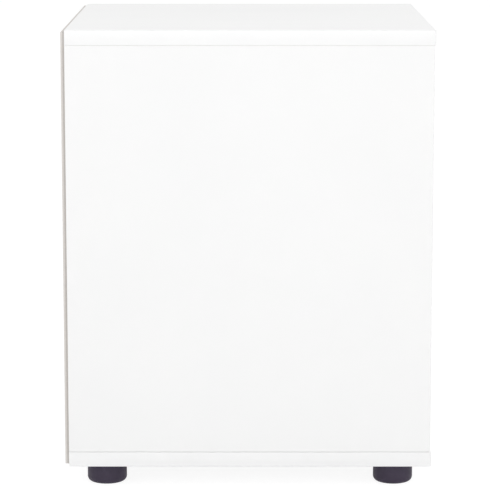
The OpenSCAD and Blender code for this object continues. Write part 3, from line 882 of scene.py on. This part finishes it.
def drawn_in(outline, way, distance):
    """An outline moved inwards, each corner along its mitre."""
    moved = []
    for before, here, after in zip(outline[-1:] + outline, outline, outline[1:] + outline[:1]):
        one, other = way.cross(here - before).normalized(), way.cross(after - here).normalized()
        moved.append(here + (one + other) * distance / (1 + one.dot(other)))
    return moved


FRONT_WAY = Vector((0, -1, 0))
print("a front's outline has", len(outline_of(merged("upper_drawer_front"), FRONT_WAY)),
      "corners, most of them in the scoop")


# %% Fronts and their bands
def front_core(node, outline):
    """The board inside the band: each corner of the outline moves in, at the front and the rear."""
    shape = merged(node)
    inner = drawn_in(outline, FRONT_WAY, BAND_THICKNESS)
    core_at = {(round(a.x, 5), round(a.z, 5)): b for a, b in zip(outline, inner)}
    for vert in shape.verts:
        moved = core_at.get((round(vert.co.x, 5), round(vert.co.z, 5)))
        if moved:
            vert.co.x, vert.co.z = moved.x, moved.z
    ease(shape, BOARD_EASE, shortest=1.5 * MM)
    return new_piece("core_" + node, shape)


def front_band(node, outline):
    """The band round a front, as wide as the front is thick."""
    low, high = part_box(node)
    ring = drawn_in(outline, FRONT_WAY, BAND_THICKNESS / 2)
    path = path_of([(p.x, (low.y + high.y) / 2, p.z) for p in ring], closed=True)
    return grown("band_" + node, path, EDGE_BAND, BAND, width=high.y - low.y, across=(0.0, 1.0, 0.0))


for level in LEVELS:
    node = f"{level}_drawer_front"
    outline = outline_of(merged(node), FRONT_WAY)
    settle(front_core(node, outline), [node], (MELAMINE,))
    settle(front_band(node, outline), [node])

# %% [markdown]
# ## Turned hardware
#
# Screws, nails, axles, bolts, dowels, rollers and feet all come off a lathe or out of a round mould.
# A lathe shape is fully described by a few points of height and radius. A Screw modifier could spin
# them, but its profile can't take its numbers from sizes. Here a circle is swept up an upright line
# instead, and scaled at each of its points, and every height and radius may be a sum of sizes.

# %% Turn a profile
def upright(tree, height):
    """A place on the Z axis."""
    return tree.add("ShaderNodeCombineXYZ", {"Z": height})


def listed(tree, values):
    """A list of values: each point takes the one with its own index."""
    index = tree.add("GeometryNodeInputIndex")
    node = tree.add("GeometryNodeIndexSwitch", {"Index": index}, data_type="FLOAT")
    while len(node.index_switch_items) < len(values):
        node.index_switch_items.new()
    for at, value in enumerate(values):
        tree.feed(node, str(at), value)
    return node


def turned(tree, profile, facets):
    """A closed solid of revolution about Z, from its (height, radius) points in rising order."""
    heights, radii = (listed(tree, values) for values in zip(*profile))
    line = tree.add("GeometryNodeMeshLine", {"Count": len(profile)})
    curve = tree.add("GeometryNodeMeshToCurve", {0: line})
    axis = tree.add("GeometryNodeSetPosition", {"Geometry": curve, "Position": upright(tree, heights)})
    ring = tree.add("GeometryNodeCurvePrimitiveCircle", {"Resolution": facets, "Radius": 1.0})
    return tree.add("GeometryNodeCurveToMesh", {"Curve": axis, "Profile Curve": ring, "Scale": radii,
                                                "Fill Caps": True})


print("heights count from the face that a part stands on, so a shank has negative heights")

# %% [markdown]
# ### Stand on points
#
# A fastener points out of its board, and the boards face all ways. So each point that a part stands
# on carries a direction called "out", and the part's Z axis is turned along it.

# %% Place a part on points
def carried(tree, name):
    """A direction that the points carry."""
    return tree.add("GeometryNodeInputNamedAttribute", {"Name": name}, data_type="FLOAT_VECTOR")


def way_out(tree):
    """The rotation that turns Z along a point's way out."""
    return tree.add("FunctionNodeAlignRotationToVector", {"Vector": carried(tree, "out")}, axis="Z")


def placed(tree, part, rotation):
    """The part on every point of the start mesh."""
    return tree.add("GeometryNodeInstanceOnPoints", {"Points": tree.given["Geometry"], "Instance": part,
                                                     "Rotation": rotation})


print("a part's Z axis follows its point's way out")

# %% [markdown]
# ### Nails
#
# A nail for a thin back has a low domed head, rolled in one blow, and a short point. It is the
# simplest turned part: no thread, no cross, and the same from every side.

# %% Nail tree
def nail_tree():
    tree = SizeTree("nail", length=20 * MM, shank_radius=0.8 * MM, head_radius=2 * MM, head_height=1 * MM)
    tip, under, head = -tree.length, -tree.head_height, tree.head_radius
    nail = turned(tree, [
        (tip, 0.1 * MM), (tip + 2.2 * MM, tree.shank_radius), (under - 0.03 * MM, tree.shank_radius),
        (under, head * 0.94), (under * 0.6, head), (under * 0.35, head), (under * 0.1, head * 0.8),
        (0.0, head * 0.4)], facets=20)
    return tree.end(placed(tree, nail, way_out(tree)))


NAIL = nail_tree()
print("a nail tree has", len(NAIL.nodes), "nodes")

# %% [markdown]
# ### Roller axles
#
# A runner's axle is a rivet. Its tail is fixed in the rail, a shoulder holds the roller off the
# steel, and its head keeps the roller on. Each is one step in the same profile.

# %% Axle tree
def axle_tree():
    tree = SizeTree("axle", length=9.15 * MM, radius=2.2 * MM, shoulder_radius=3.2 * MM,
                    shoulder_start=6 * MM, shoulder_end=7.95 * MM, head_radius=3.4 * MM,
                    head_height=1.2 * MM)
    tail, rod, head = -tree.length, tree.radius, tree.head_radius
    steel, seat, under = -tree.shoulder_end, -tree.shoulder_start, -tree.head_height
    step = 0.02 * MM
    axle = turned(tree, [
        (tail, rod * 0.9), (tail + 0.2 * MM, rod),
        (steel, rod), (steel + step, tree.shoulder_radius), (seat, tree.shoulder_radius), (seat + step, rod),
        (under - step, rod), (under, head), (under * 0.35, head), (under * 0.1, head * 0.82),
        (0.0, head * 0.5)], facets=28)
    return tree.end(placed(tree, axle, way_out(tree)))


AXLE = axle_tree()
print("an axle tree has", len(AXLE.nodes), "nodes")

# %% [markdown]
# ### Cam bolts
#
# A cam joint pulls two boards together: a bolt screws into one, and a disc in the other grips its
# head. The bolt has a coarse thread, a plain shaft and a waist behind the head. Rings stand in for
# the thread, because all of it is buried in the board and only its outline can be seen in a section.

# %% Bolt tree
def bolt_tree(turns=8):
    tree = SizeTree("cam bolt", length=36.2 * MM, thread_radius=2.5 * MM, thread_length=11 * MM,
                    shaft_radius=2 * MM, neck=4.4 * MM, head_radius=2.6 * MM, head_height=2.4 * MM)
    tip, crest, shaft, waist = -tree.length, tree.thread_radius, tree.shaft_radius, tree.shaft_radius * 0.75
    neck, under, head = -tree.neck, -tree.head_height, tree.head_radius
    profile = [(tip, crest * 0.6), (tip + 0.8 * MM, crest)]
    for turn in range(1, turns):
        root = tip + tree.thread_length * (turn / turns)
        profile += [(root - 0.25 * MM, crest), (root, crest * 0.8), (root + 0.25 * MM, crest)]
    thread_end = tip + tree.thread_length
    profile += [
        (thread_end, crest), (thread_end + 0.02 * MM, shaft), (neck, shaft), (neck + 0.4 * MM, waist),
        (under - 0.3 * MM, waist), (under, head), (-0.35 * MM, head), (0.0, head * 0.8)]
    return tree.end(placed(tree, turned(tree, profile, facets=20), way_out(tree)))


BOLT = bolt_tree()
print("a bolt tree has", len(BOLT.nodes), "nodes")

# %% [markdown]
# ### Cut, join and move
#
# A screw isn't turned all over: a cross is pressed into its head, and its thread winds up. So the
# next trees also need a block, a cut, and ways to move shapes and put them together.

# %% Shapes to cut with
def block(tree, x, y, z):
    """A box round the origin."""
    size = tree.add("ShaderNodeCombineXYZ", {0: x, 1: y, 2: z})
    return tree.add("GeometryNodeMeshCube", {"Size": size}).outputs["Mesh"]


def cross(tree, arm, width, depth):
    """Two blocks that cut a cross into the face at height 0."""
    return block(tree, arm, width, depth * 2.0), block(tree, width, arm, depth * 2.0)


def moved(tree, shape, at, turn=(0.0, 0.0, 0.0)):
    """A shape turned, and then moved."""
    return tree.add("GeometryNodeTransform", {"Geometry": shape, "Translation": at, "Rotation": turn})


def together(tree, *shapes):
    """Shapes joined into one. The last one linked comes first, so they are linked in reverse."""
    node = tree.add("GeometryNodeJoinGeometry")
    for shape in reversed(shapes):
        tree.feed(node, "Geometry", shape)
    return node


def cut(tree, solid, *cutters):
    """The solid with the cutters taken away."""
    return tree.add("GeometryNodeMeshBoolean", {
        "Mesh 1": solid, "Mesh 2": together(tree, *cutters), "Self Intersection": True,
    }, operation="DIFFERENCE", solver="EXACT")


print("a cut takes any number of cutters")

# %% [markdown]
# ### Screws
#
# A screw is turned from tip to head, then gets its cross and its thread: a small triangle swept
# along a spiral. Winding the whole profile would make thread and core one shape, but it would wind
# the head as well. Nobody lines up the crosses of real screws, so each stands at a random turn, and
# the seed is fixed so that they stand the same way every time.

# %% Thread and random turn
def thread(tree, start, climb, radius, size):
    """A spiral of small triangles round a core."""
    spiral = tree.add("GeometryNodeCurveSpiral", {
        "Resolution": 10, "Rotations": climb / tree.pitch, "Start Radius": radius, "End Radius": radius,
        "Height": climb})
    triangle = tree.add("GeometryNodeCurvePrimitiveCircle", {"Resolution": 3, "Radius": size})
    swept = tree.add("GeometryNodeCurveToMesh", {
        "Curve": spiral, "Profile Curve": triangle, "Fill Caps": True})
    return moved(tree, swept, at=upright(tree, start))


def at_random(tree, rotation):
    """A rotation followed by a random turn about Z, from the tree's seed."""
    angle = tree.add("FunctionNodeRandomValue", {"Max": math.tau, "Seed": tree.seed}, data_type="FLOAT")
    spin = tree.add("FunctionNodeAxisAngleToRotation", {"Axis": (0.0, 0.0, 1.0), "Angle": angle})
    return tree.add("FunctionNodeRotateRotation", {"Rotation": rotation, "Rotate By": spin},
                    rotation_space="LOCAL")


print("a full turn is", round(math.tau, 3), "radians")


# %% Screw tree
def screw_tree():
    tree = SizeTree("screw", length=14 * MM, shank_radius=1.75 * MM, head_radius=3.5 * MM,
                    head_height=1.9 * MM, neck_radius=1.75 * MM, dome=0.15 * MM, slot_width=0.7 * MM,
                    slot_depth=1.1 * MM, pitch=1.3 * MM, seed=4)
    core, head = tree.shank_radius * 0.72, tree.head_radius
    tip, under, rim = -tree.length, -tree.head_height, -tree.dome
    point_end = tip + tree.shank_radius * 2.0
    body = turned(tree, [
        (tip, core * 0.1), (point_end, core), (under - 0.05 * MM, core), (under, tree.neck_radius),
        (rim, head), (rim * 0.35, head * 0.88), (0.0, head * 0.6)], facets=28)
    headed = cut(tree, body, *cross(tree, head * 1.15, tree.slot_width, tree.slot_depth))
    climb = under - (point_end + 0.6 * MM)
    wound = thread(tree, point_end, climb, core, tree.shank_radius * 0.26)
    return tree.end(placed(tree, together(tree, headed, wound), at_random(tree, way_out(tree))))


SCREW = screw_tree()
print("a screw tree has", len(SCREW.nodes), "nodes")

# %% [markdown]
# ### Where the fasteners are
#
# The CAD fasteners are plain: a thin cylinder with a wider one for its head. That is enough to
# measure them. The long side of a solid's box is its axis, and the end that reaches further from
# the axis is the head.

# %% Measure the seats
Seat = namedtuple("Seat", "place out length radius")


def seats_of(node):
    """Where the head of each long solid of a CAD part sits, and how long and wide the solid is."""
    found = []
    for points in solids_of(node):
        low, high = box_of(points)
        size, middle = high - low, (low + high) / 2
        axis = max(range(3), key=lambda i: size[i])
        reach = []
        for end in (low[axis], high[axis]):
            near = [p - middle for p in points if abs(p[axis] - end) < 0.05 * MM]
            reach.append(max(math.sqrt(p.length_squared - p[axis] ** 2) for p in near))
        out = Vector((0, 0, 0))
        out[axis] = 1 if reach[1] > reach[0] else -1
        found.append(Seat(middle + out * size[axis] / 2, out, size[axis], max(reach)))
    return found


print("the first rail screw is", round(seats_of("rail_screws")[0].length / MM, 1), "mm long")


# %% Fasteners on their points
def points_at(seats, **ways):
    """A mesh with a loose point in each seat, that carries its way out and any other direction."""
    mesh = bpy.data.meshes.new("points")
    mesh.from_pydata([tuple(seat.place) for seat in seats], [], [])
    ways["out"] = [seat.out for seat in seats]
    for name, vectors in ways.items():
        attribute = mesh.attributes.new(name, "FLOAT_VECTOR", "POINT")
        for item, vector in zip(attribute.data, vectors):
            item.vector = vector
    return mesh


def fasteners(name, node, tree, over=0.0, under=1.0, **sizes):
    """One zinc plated piece, with a fastener for each solid that is over and under a length."""
    seats = [seat for seat in seats_of(node) if over < seat.length < under]
    first = seats[0]
    piece = grown(name, points_at(seats), tree, ZINC, length=first.length, head_radius=first.radius, **sizes)
    return settle(piece, [node])


print("one node can hold fasteners of several lengths, so they are picked by length")

# %% [markdown]
# ### Screws in place
#
# A sunk head narrows to the shank, so that it pulls itself into the board. A pan head stays wide
# below, and clamps a thin sheet.

# %% Place the screws
SUNK = {"head_height": 1.9 * MM, "neck_radius": 1.3 * MM}
PAN = {"head_height": 1.6 * MM, "neck_radius": 3.1 * MM, "dome": 0.7 * MM, "slot_depth": 1.0 * MM}
fasteners("sunk_rail_screws", "rail_screws", SCREW, **SUNK)
fasteners("sunk_carcass_screws", "carcass_screws", SCREW, head_height=3.5 * MM, neck_radius=2.2 * MM,
          shank_radius=3 * MM, slot_width=1.1 * MM, slot_depth=1.9 * MM, pitch=2.6 * MM)
fasteners("pan_foot_screws", "foot_screws", SCREW, head_height=2.6 * MM, neck_radius=4.1 * MM,
          dome=1.0 * MM, shank_radius=2 * MM, slot_width=0.9 * MM, slot_depth=1.5 * MM, pitch=1.6 * MM)
for level in LEVELS:
    node = f"{level}_drawer_screws"
    fasteners(f"{level}_drawer_back_screws", node, SCREW, over=25 * MM, **SUNK)
    fasteners(f"{level}_drawer_rail_screws", node, SCREW, under=13 * MM, **PAN)

# %% [markdown]
# ### Nails, axles and bolts in place
#
# These need no sizes of their own: length and head are measured, and the rest is the tree's default.

# %% Place the nails, axles and bolts
fasteners("domed_back_nails", "back_panel_nails", NAIL)
fasteners("riveted_cabinet_axles", "cabinet_roller_axles", AXLE)
fasteners("carcass_cam_bolts", "cam_fittings", BOLT, over=30 * MM)
for level in LEVELS:
    fasteners(f"{level}_riveted_axles", f"{level}_rear_roller_axles", AXLE)
    fasteners(f"{level}_drawer_cam_bolts", f"{level}_drawer_cam_fittings", BOLT, over=30 * MM)
    fasteners(f"{level}_bottom_nails", f"{level}_drawer_screws", NAIL, over=13 * MM, under=25 * MM)

# %% [markdown]
# ## Cam discs
#
# A cam disc sits flush in the inner face of a board. It is cast, with a cross for the screwdriver, a
# fine ring round its rim, a small arrow that shows where the bolt comes in, and a pocket for the
# bolt's head. The pocket has to face the bolt. So a disc's point carries two directions, out of the
# board and to the bolt, and the disc is first turned along the one and then spun towards the other.

# %% Ring and aim
def ring_cutter(tree, radius, width, depth, facets):
    """A rectangle swept round Z, to cut a groove into the face at height 0."""
    path = tree.add("GeometryNodeCurvePrimitiveCircle", {"Resolution": facets, "Radius": radius})
    profile = tree.add("GeometryNodeCurvePrimitiveQuadrilateral", {"Width": width, "Height": depth * 2.0})
    return tree.add("GeometryNodeCurveToMesh", {"Curve": path, "Profile Curve": profile})


def aimed(tree, rotation, name):
    """A rotation followed by the turn about Z that brings Y nearest to a carried direction."""
    return tree.add("FunctionNodeAlignRotationToVector", {
        "Rotation": rotation, "Vector": carried(tree, name)}, axis="Y", pivot_axis="Z")


print("a disc's Y axis will point to its bolt")


# %% Cam tree
def cam_tree():
    tree = SizeTree("cam disc", radius=7.5 * MM, depth=12.5 * MM, slot_length=9 * MM,
                    slot_width=1.4 * MM, slot_depth=2 * MM, pocket_radius=2.9 * MM, pocket_depth=8 * MM,
                    ring_radius=6.2 * MM)
    low, radius, inner = -tree.depth, tree.radius, tree.radius - 0.25 * MM
    disc = turned(tree, [(low, inner), (low + 0.25 * MM, radius), (-0.2 * MM, radius), (0.0, inner)], 40)
    bore = turned(tree, [(-2.6 * MM, tree.pocket_radius), (radius + 1 * MM, tree.pocket_radius)], 20)
    pocket = moved(tree, bore, at=upright(tree, -tree.pocket_depth), turn=(-math.pi / 2, 0.0, 0.0))
    ring = ring_cutter(tree, tree.ring_radius, 0.35 * MM, 0.25 * MM, 40)
    arrow = turned(tree, [(0.0, 0.8 * MM), (1 * MM, 0.8 * MM)], 3)
    arrow = moved(tree, arrow, at=(0.0, 5.2 * MM, -0.3 * MM), turn=(0.0, 0.0, math.pi / 2))
    slots = cross(tree, tree.slot_length, tree.slot_width, tree.slot_depth)
    disc = cut(tree, disc, *slots, pocket, ring, arrow)
    return tree.end(placed(tree, disc, aimed(tree, way_out(tree), "bolt")))


CAM = cam_tree()
print("a cam tree has", len(CAM.nodes), "nodes")


# %% Place the cam discs
LARGEST_DISC = 20 * MM
CAM_POCKET = {12.5: 8 * MM, 9.5: 6 * MM}


def discs_of(node, inwards=True):
    """Seats for discs: on the face that looks into the cabinet, or on the one that looks out."""
    found = []
    for points in solids_of(node):
        low, high = box_of(points)
        size, middle = high - low, (low + high) / 2
        out = Vector((-1 if (middle.x > 0) == inwards else 1, 0, 0))
        if max(size) < LARGEST_DISC:
            found.append(Seat(middle + out * size.x / 2, out, size.x, size.z / 2))
    return found


def cam_discs(name, node, bolt_way):
    """Cam discs in the inner faces of a pair of boards."""
    discs = discs_of(node)
    depth = discs[0].length
    points = points_at(discs, bolt=[bolt_way] * len(discs))
    piece = grown(name, points, CAM, ZINC, radius=discs[0].radius, depth=depth,
                  pocket_depth=CAM_POCKET[round(depth / MM, 1)])
    return settle(piece, [node])


cam_discs("carcass_cam_discs", "cam_fittings", bolt_way=Vector((0, 0, 1)))
for level in LEVELS:
    cam_discs(f"{level}_drawer_cam_discs", f"{level}_drawer_cam_fittings", bolt_way=Vector((0, -1, 0)))

# %% [markdown]
# ## Dowels
#
# A dowel is a beech rod with a chamfer at both ends, and shallow flutes that let the glue and the air
# out of the hole. Flutes could be cut one by one, but that is eighteen cuts for a rod that is mostly
# hidden. So the rod is turned with four corners to a flute, and one corner in four is pushed in.

# %% Dowel tree
def dowel_tree(flutes=18):
    tree = SizeTree("dowel", length=30 * MM, radius=4 * MM, chamfer=0.8 * MM, flute_depth=0.35 * MM)
    top, small = tree.length * 0.5, tree.radius - tree.chamfer
    rod = turned(tree, [(-top, small), (tree.chamfer - top, tree.radius),
                        (top - tree.chamfer, tree.radius), (top, small)], 4 * flutes)
    place = tree.add("ShaderNodeSeparateXYZ", {0: tree.add("GeometryNodeInputPosition")})
    x, y, z = (tree.value(place, axis) for axis in range(3))
    at_flute = (y.math("ARCTAN2", x) * float(flutes)).math("COSINE").math("GREATER_THAN", 0.5)
    off_axis = (x.math("ABSOLUTE") + y.math("ABSOLUTE")).math("GREATER_THAN", 1 * MM)
    kept = -(tree.flute_depth / tree.radius * at_flute * off_axis) + 1.0
    place = tree.add("ShaderNodeCombineXYZ", {0: x * kept, 1: y * kept, 2: z})
    fluted = tree.add("GeometryNodeSetPosition", {"Geometry": rod, "Position": place})
    return tree.end(placed(tree, fluted, way_out(tree)))


DOWEL = dowel_tree()
print("a dowel tree has", len(DOWEL.nodes), "nodes")

# %% Place the dowels
UP = Vector((0, 0, 1))


def upright_seat(low, high, height):
    """A seat that looks up from one height in the middle of a box."""
    return Seat(Vector(((low.x + high.x) / 2, (low.y + high.y) / 2, height)), UP, high.z - low.z,
                (high.x - low.x) / 2)


rods = [box_of(points) for points in solids_of("dowels")]
rods = [upright_seat(low, high, (low.z + high.z) / 2) for low, high in rods]
dowels = grown("fluted_dowels", points_at(rods), DOWEL, BEECH, length=rods[0].length, radius=rods[0].radius)
settle(dowels, ["dowels"])

# %% [markdown]
# ## Rollers
#
# A roller is moulded from nylon. Its rim is rounded so that it doesn't cut into the steel strip, a
# ring between rim and hub is left thin to keep the wall even, and the axle's head sinks into the hub.

# %% Roller tree
def rounded_edge(radius, edge, shares):
    """The (rise, radius) points of an outer edge that a quarter circle rounds, from below."""
    turns = [share * math.pi / 2 for share in shares]
    return [(edge * (1 - math.cos(turn)), radius - edge * (1 - math.sin(turn))) for turn in turns]


def roller_tree():
    tree = SizeTree("roller", radius=8.8 * MM, width=6 * MM, rim_radius=0.7 * MM, bore_radius=2.25 * MM,
                    recess_radius=3.9 * MM, recess_depth=1.4 * MM, groove_depth=1.1 * MM)
    low, rim = -tree.width, rounded_edge(tree.radius, tree.rim_radius, (0.0, 0.3, 0.6, 1.0))
    lower = [(low + rise, radius) for rise, radius in rim]
    upper = [(-rise, radius) for rise, radius in reversed(rim)]
    wheel = turned(tree, lower + upper, 56)
    bore = turned(tree, [(low - 1 * MM, tree.bore_radius), (1 * MM, tree.bore_radius)], 32)
    recess = turned(tree, [(-tree.recess_depth, tree.recess_radius), (1 * MM, tree.recess_radius)], 32)
    inner, outer = tree.recess_radius + 0.9 * MM, tree.radius - 1.5 * MM
    groove = ring_cutter(tree, (inner + outer) * 0.5, outer - inner, tree.groove_depth, 56)
    moulded = cut(tree, cut(tree, wheel, bore), recess, groove)
    return tree.end(placed(tree, moulded, way_out(tree)))


ROLLER = roller_tree()
print("a roller tree has", len(ROLLER.nodes), "nodes")


# %% Place the rollers
def rollers(name, node, inwards):
    """A pair of rollers whose hub recesses face the drawer, or face the side panels."""
    discs = discs_of(node, inwards)
    piece = grown(name, points_at(discs), ROLLER, NYLON, radius=discs[0].radius, width=discs[0].length)
    return settle(piece, [node])


for level in LEVELS:
    rollers(f"{level}_moulded_front_rollers", f"{level}_front_rollers", inwards=True)
    rollers(f"{level}_moulded_rear_rollers", f"{level}_rear_rollers", inwards=False)

# %% [markdown]
# ## Feet
#
# Each foot is a thick round moulding with a large radius on its lower edge, so that it slides over a
# carpet, and a small chamfer at the top. Two halves of a mould leave a hair-thin parting line where
# the radius begins. Below, the screw sits in a deep recess, and a ring of pockets between ribs keeps
# the plastic from sinking as it cools.

# %% Pockets between ribs
def rib_pockets(tree):
    """A ring of pockets: a round groove, less the ribs that stand across it."""
    middle, width = (tree.pocket_start + tree.pocket_end) * 0.5, tree.pocket_end - tree.pocket_start
    groove = ring_cutter(tree, middle, width, tree.pocket_depth, 96)
    circle = tree.add("GeometryNodeMeshCircle", {"Vertices": tree.ribs, "Radius": 12 * MM})
    place = tree.add("GeometryNodeInputPosition")
    outward = tree.add("FunctionNodeAlignRotationToVector", {"Vector": place}, axis="X")
    rib = block(tree, 14 * MM, tree.rib_width, 30 * MM)
    ribs = tree.add("GeometryNodeInstanceOnPoints", {"Points": circle, "Instance": rib, "Rotation": outward})
    return cut(tree, groove, tree.add("GeometryNodeRealizeInstances", {"Geometry": ribs}))


print("each rib is a long block across the ring")


# %% Foot tree
def foot_tree():
    tree = SizeTree("foot", radius=21.5 * MM, height=25 * MM, lower_radius=5.5 * MM, chamfer=0.6 * MM,
                    recess_radius=8 * MM, recess_depth=12 * MM, screw_radius=2.05 * MM,
                    parting_line=0.07 * MM, pocket_depth=2.5 * MM, pocket_start=9.6 * MM,
                    pocket_end=14.6 * MM, rib_width=1.3 * MM, ribs=12)
    side, top, edge = tree.radius - tree.parting_line, tree.height, tree.lower_radius
    profile = rounded_edge(side, edge, (0.0, 0.14, 0.28, 0.42, 0.56, 0.7, 0.85, 1.0))
    profile += [
        (edge + 0.08 * MM, tree.radius), (edge + 0.16 * MM, side), (top - tree.chamfer, side),
        (top, side - tree.chamfer)]
    body = turned(tree, profile, 96)
    recess = turned(tree, [(-1 * MM, tree.recess_radius), (tree.recess_depth, tree.recess_radius)], 48)
    hole = turned(tree, [(1 * MM, tree.screw_radius), (top + 1 * MM, tree.screw_radius)], 24)
    bored = cut(tree, cut(tree, body, recess), hole)
    return tree.end(placed(tree, cut(tree, bored, rib_pockets(tree)), way_out(tree)))


FOOT = foot_tree()
print("a foot tree has", len(FOOT.nodes), "nodes")

# %% Place the feet
for corner in ("front_left", "front_right", "rear_left", "rear_right"):
    node = "foot_" + corner
    low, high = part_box(node)
    seat = upright_seat(low, high, low.z)
    foot = grown("moulded_" + node, points_at([seat]), FOOT, SLATE, radius=seat.radius, height=seat.length)
    settle(foot, [node])

# %% [markdown]
# ## Floor and surroundings
#
# White furniture is shown on white. A white backdrop lit until it clips would do that, but it also
# throws light on the cabinet from everywhere and washes it out. So the floor and the world are plain
# white only where the camera, or a reflection, looks at them. The light itself stays at a plain
# level, and the floor still carries the cabinet's own soft shadow.

# %% What the eye sees
def white_to_the_eye(tree):
    """1 where the camera, a reflection or a refraction looks, else 0."""
    path = tree.add("ShaderNodeLightPath")
    seen = tree.value(path, "Is Camera Ray").math("MAXIMUM", tree.value(path, "Is Glossy Ray"))
    return seen.math("MAXIMUM", tree.value(path, "Is Transmission Ray"))


print("a shader can ask which kind of ray has hit it")

# %% Floor
FLOOR_LIFT = 0.9
FLOOR_RADIUS = 12.0


def floor_finish():
    """Plain for the light and white to the eye, and not there at all from below."""
    material = bpy.data.materials.new("white_floor")
    material.use_nodes = True
    tree = Tree(material.node_tree)
    tree.nodes.remove(tree.nodes["Principled BSDF"])
    plain = tree.add("ShaderNodeBsdfDiffuse", {"Color": (0.8, 0.8, 0.8, 1.0)})
    shadow = tree.add("ShaderNodeBsdfDiffuse", {"Color": (0.2, 0.2, 0.2, 1.0)})
    glow = tree.add("ShaderNodeEmission", {"Color": (1, 1, 1, 1), "Strength": FLOOR_LIFT})
    lifted = tree.add("ShaderNodeAddShader", {0: glow, 1: shadow})
    seen = tree.add("ShaderNodeMixShader", {0: white_to_the_eye(tree), 1: plain, 2: lifted})
    behind = tree.add("ShaderNodeNewGeometry").outputs["Backfacing"]
    clear = tree.add("ShaderNodeBsdfTransparent")
    one_sided = tree.add("ShaderNodeMixShader", {0: behind, 1: seen, 2: clear})
    tree.feed(tree.nodes["Material Output"], "Surface", one_sided)
    return material


floor_shape = bmesh.new()
bmesh.ops.create_circle(floor_shape, cap_ends=True, segments=96, radius=FLOOR_RADIUS)
bmesh.ops.translate(floor_shape, verts=floor_shape.verts, vec=(0, 0, -0.02 * MM))
floor = new_piece("floor", floor_shape)
floor.data.materials.append(floor_finish())
print("floor lift", FLOOR_LIFT)

# %% World
ROOM_LIGHT = 0.6
world = bpy.data.worlds.new("studio")
world.use_nodes = True
bpy.context.scene.world = world
sky = Tree(world.node_tree)
room = sky.nodes["Background"]
room.inputs["Color"].default_value = (1, 1, 1, 1)
room.inputs["Strength"].default_value = ROOM_LIGHT
white = sky.add("ShaderNodeBackground", {"Color": (1, 1, 1, 1), "Strength": 1.0})
backdrop = sky.add("ShaderNodeMixShader", {0: white_to_the_eye(sky), 1: room, 2: white})
sky.feed(sky.nodes["World Output"], "Surface", backdrop)
print("room light", ROOM_LIGHT)

# %% [markdown]
# ## Lamps
#
# One wide soft box stands on the side that the camera is on, high enough that the upper part of the
# side panel gets a little more than the lower part. A weaker one from the front and one from the
# rear keep the other sides from falling dark when the cabinet is turned. Seen from low on the far
# side, the top panel mirrors the soft box. A small lamp of the same power would burn a white patch
# there, so the box is made three metres wide, and its image stays as pale as the room.

# %% Soft boxes
CABINET_MIDDLE = (0, 0, 0.25)


def soft_box(name, place, aim, width, height, power):
    """A rectangular lamp that looks at a point."""
    lamp = bpy.data.lights.new(name, "AREA")
    lamp.shape, lamp.size, lamp.size_y, lamp.energy = "RECTANGLE", width, height, power
    holder = bpy.data.objects.new(name, lamp)
    bpy.context.scene.collection.objects.link(holder)
    holder.location = place
    holder.rotation_euler = (Vector(aim) - Vector(place)).to_track_quat("-Z", "Y").to_euler()
    print(f"{name}: {power} W over {width} x {height} m")


soft_box("side_box", (-2.4, 0.0, 1.5), (0, 0, 0.3), 3.0, 2.2, 32)
soft_box("front_box", (0.6, -2.1, 2.3), CABINET_MIDDLE, 2.0, 1.6, 17)
soft_box("rear_box", (0.8, 2.0, 2.5), CABINET_MIDDLE, 2.0, 1.6, 13)

# %% [markdown]
# ## Camera
#
# The view is a long lens from a few metres away, square to the left side and a little above the top,
# so that the side panel is almost a flat elevation and the top shows as a thin sloping strip. A
# parallel projection would be simpler, but then the top would not narrow towards its far edge.

# %% Camera
DISTANCE, EYE_HEIGHT, SIDEWAYS = 2.7802, 0.7034, 0.0034
PITCH, LENS, SENSOR = math.radians(9.593), 181.09, 36.0
camera = bpy.data.objects.new("camera", bpy.data.cameras.new("camera"))
bpy.context.scene.collection.objects.link(camera)
camera.location = (-DISTANCE, SIDEWAYS, EYE_HEIGHT)
view_way = Vector((math.cos(PITCH), 0, -math.sin(PITCH)))
camera.rotation_euler = view_way.to_track_quat("-Z", "Y").to_euler()
camera.data.lens, camera.data.sensor_width = LENS, SENSOR
camera.data.clip_start, camera.data.clip_end = 0.1, 60.0
bpy.context.scene.camera = camera
bpy.context.scene.view_settings.view_transform = "Standard"
print("lens", LENS, "mm at", DISTANCE, "m")
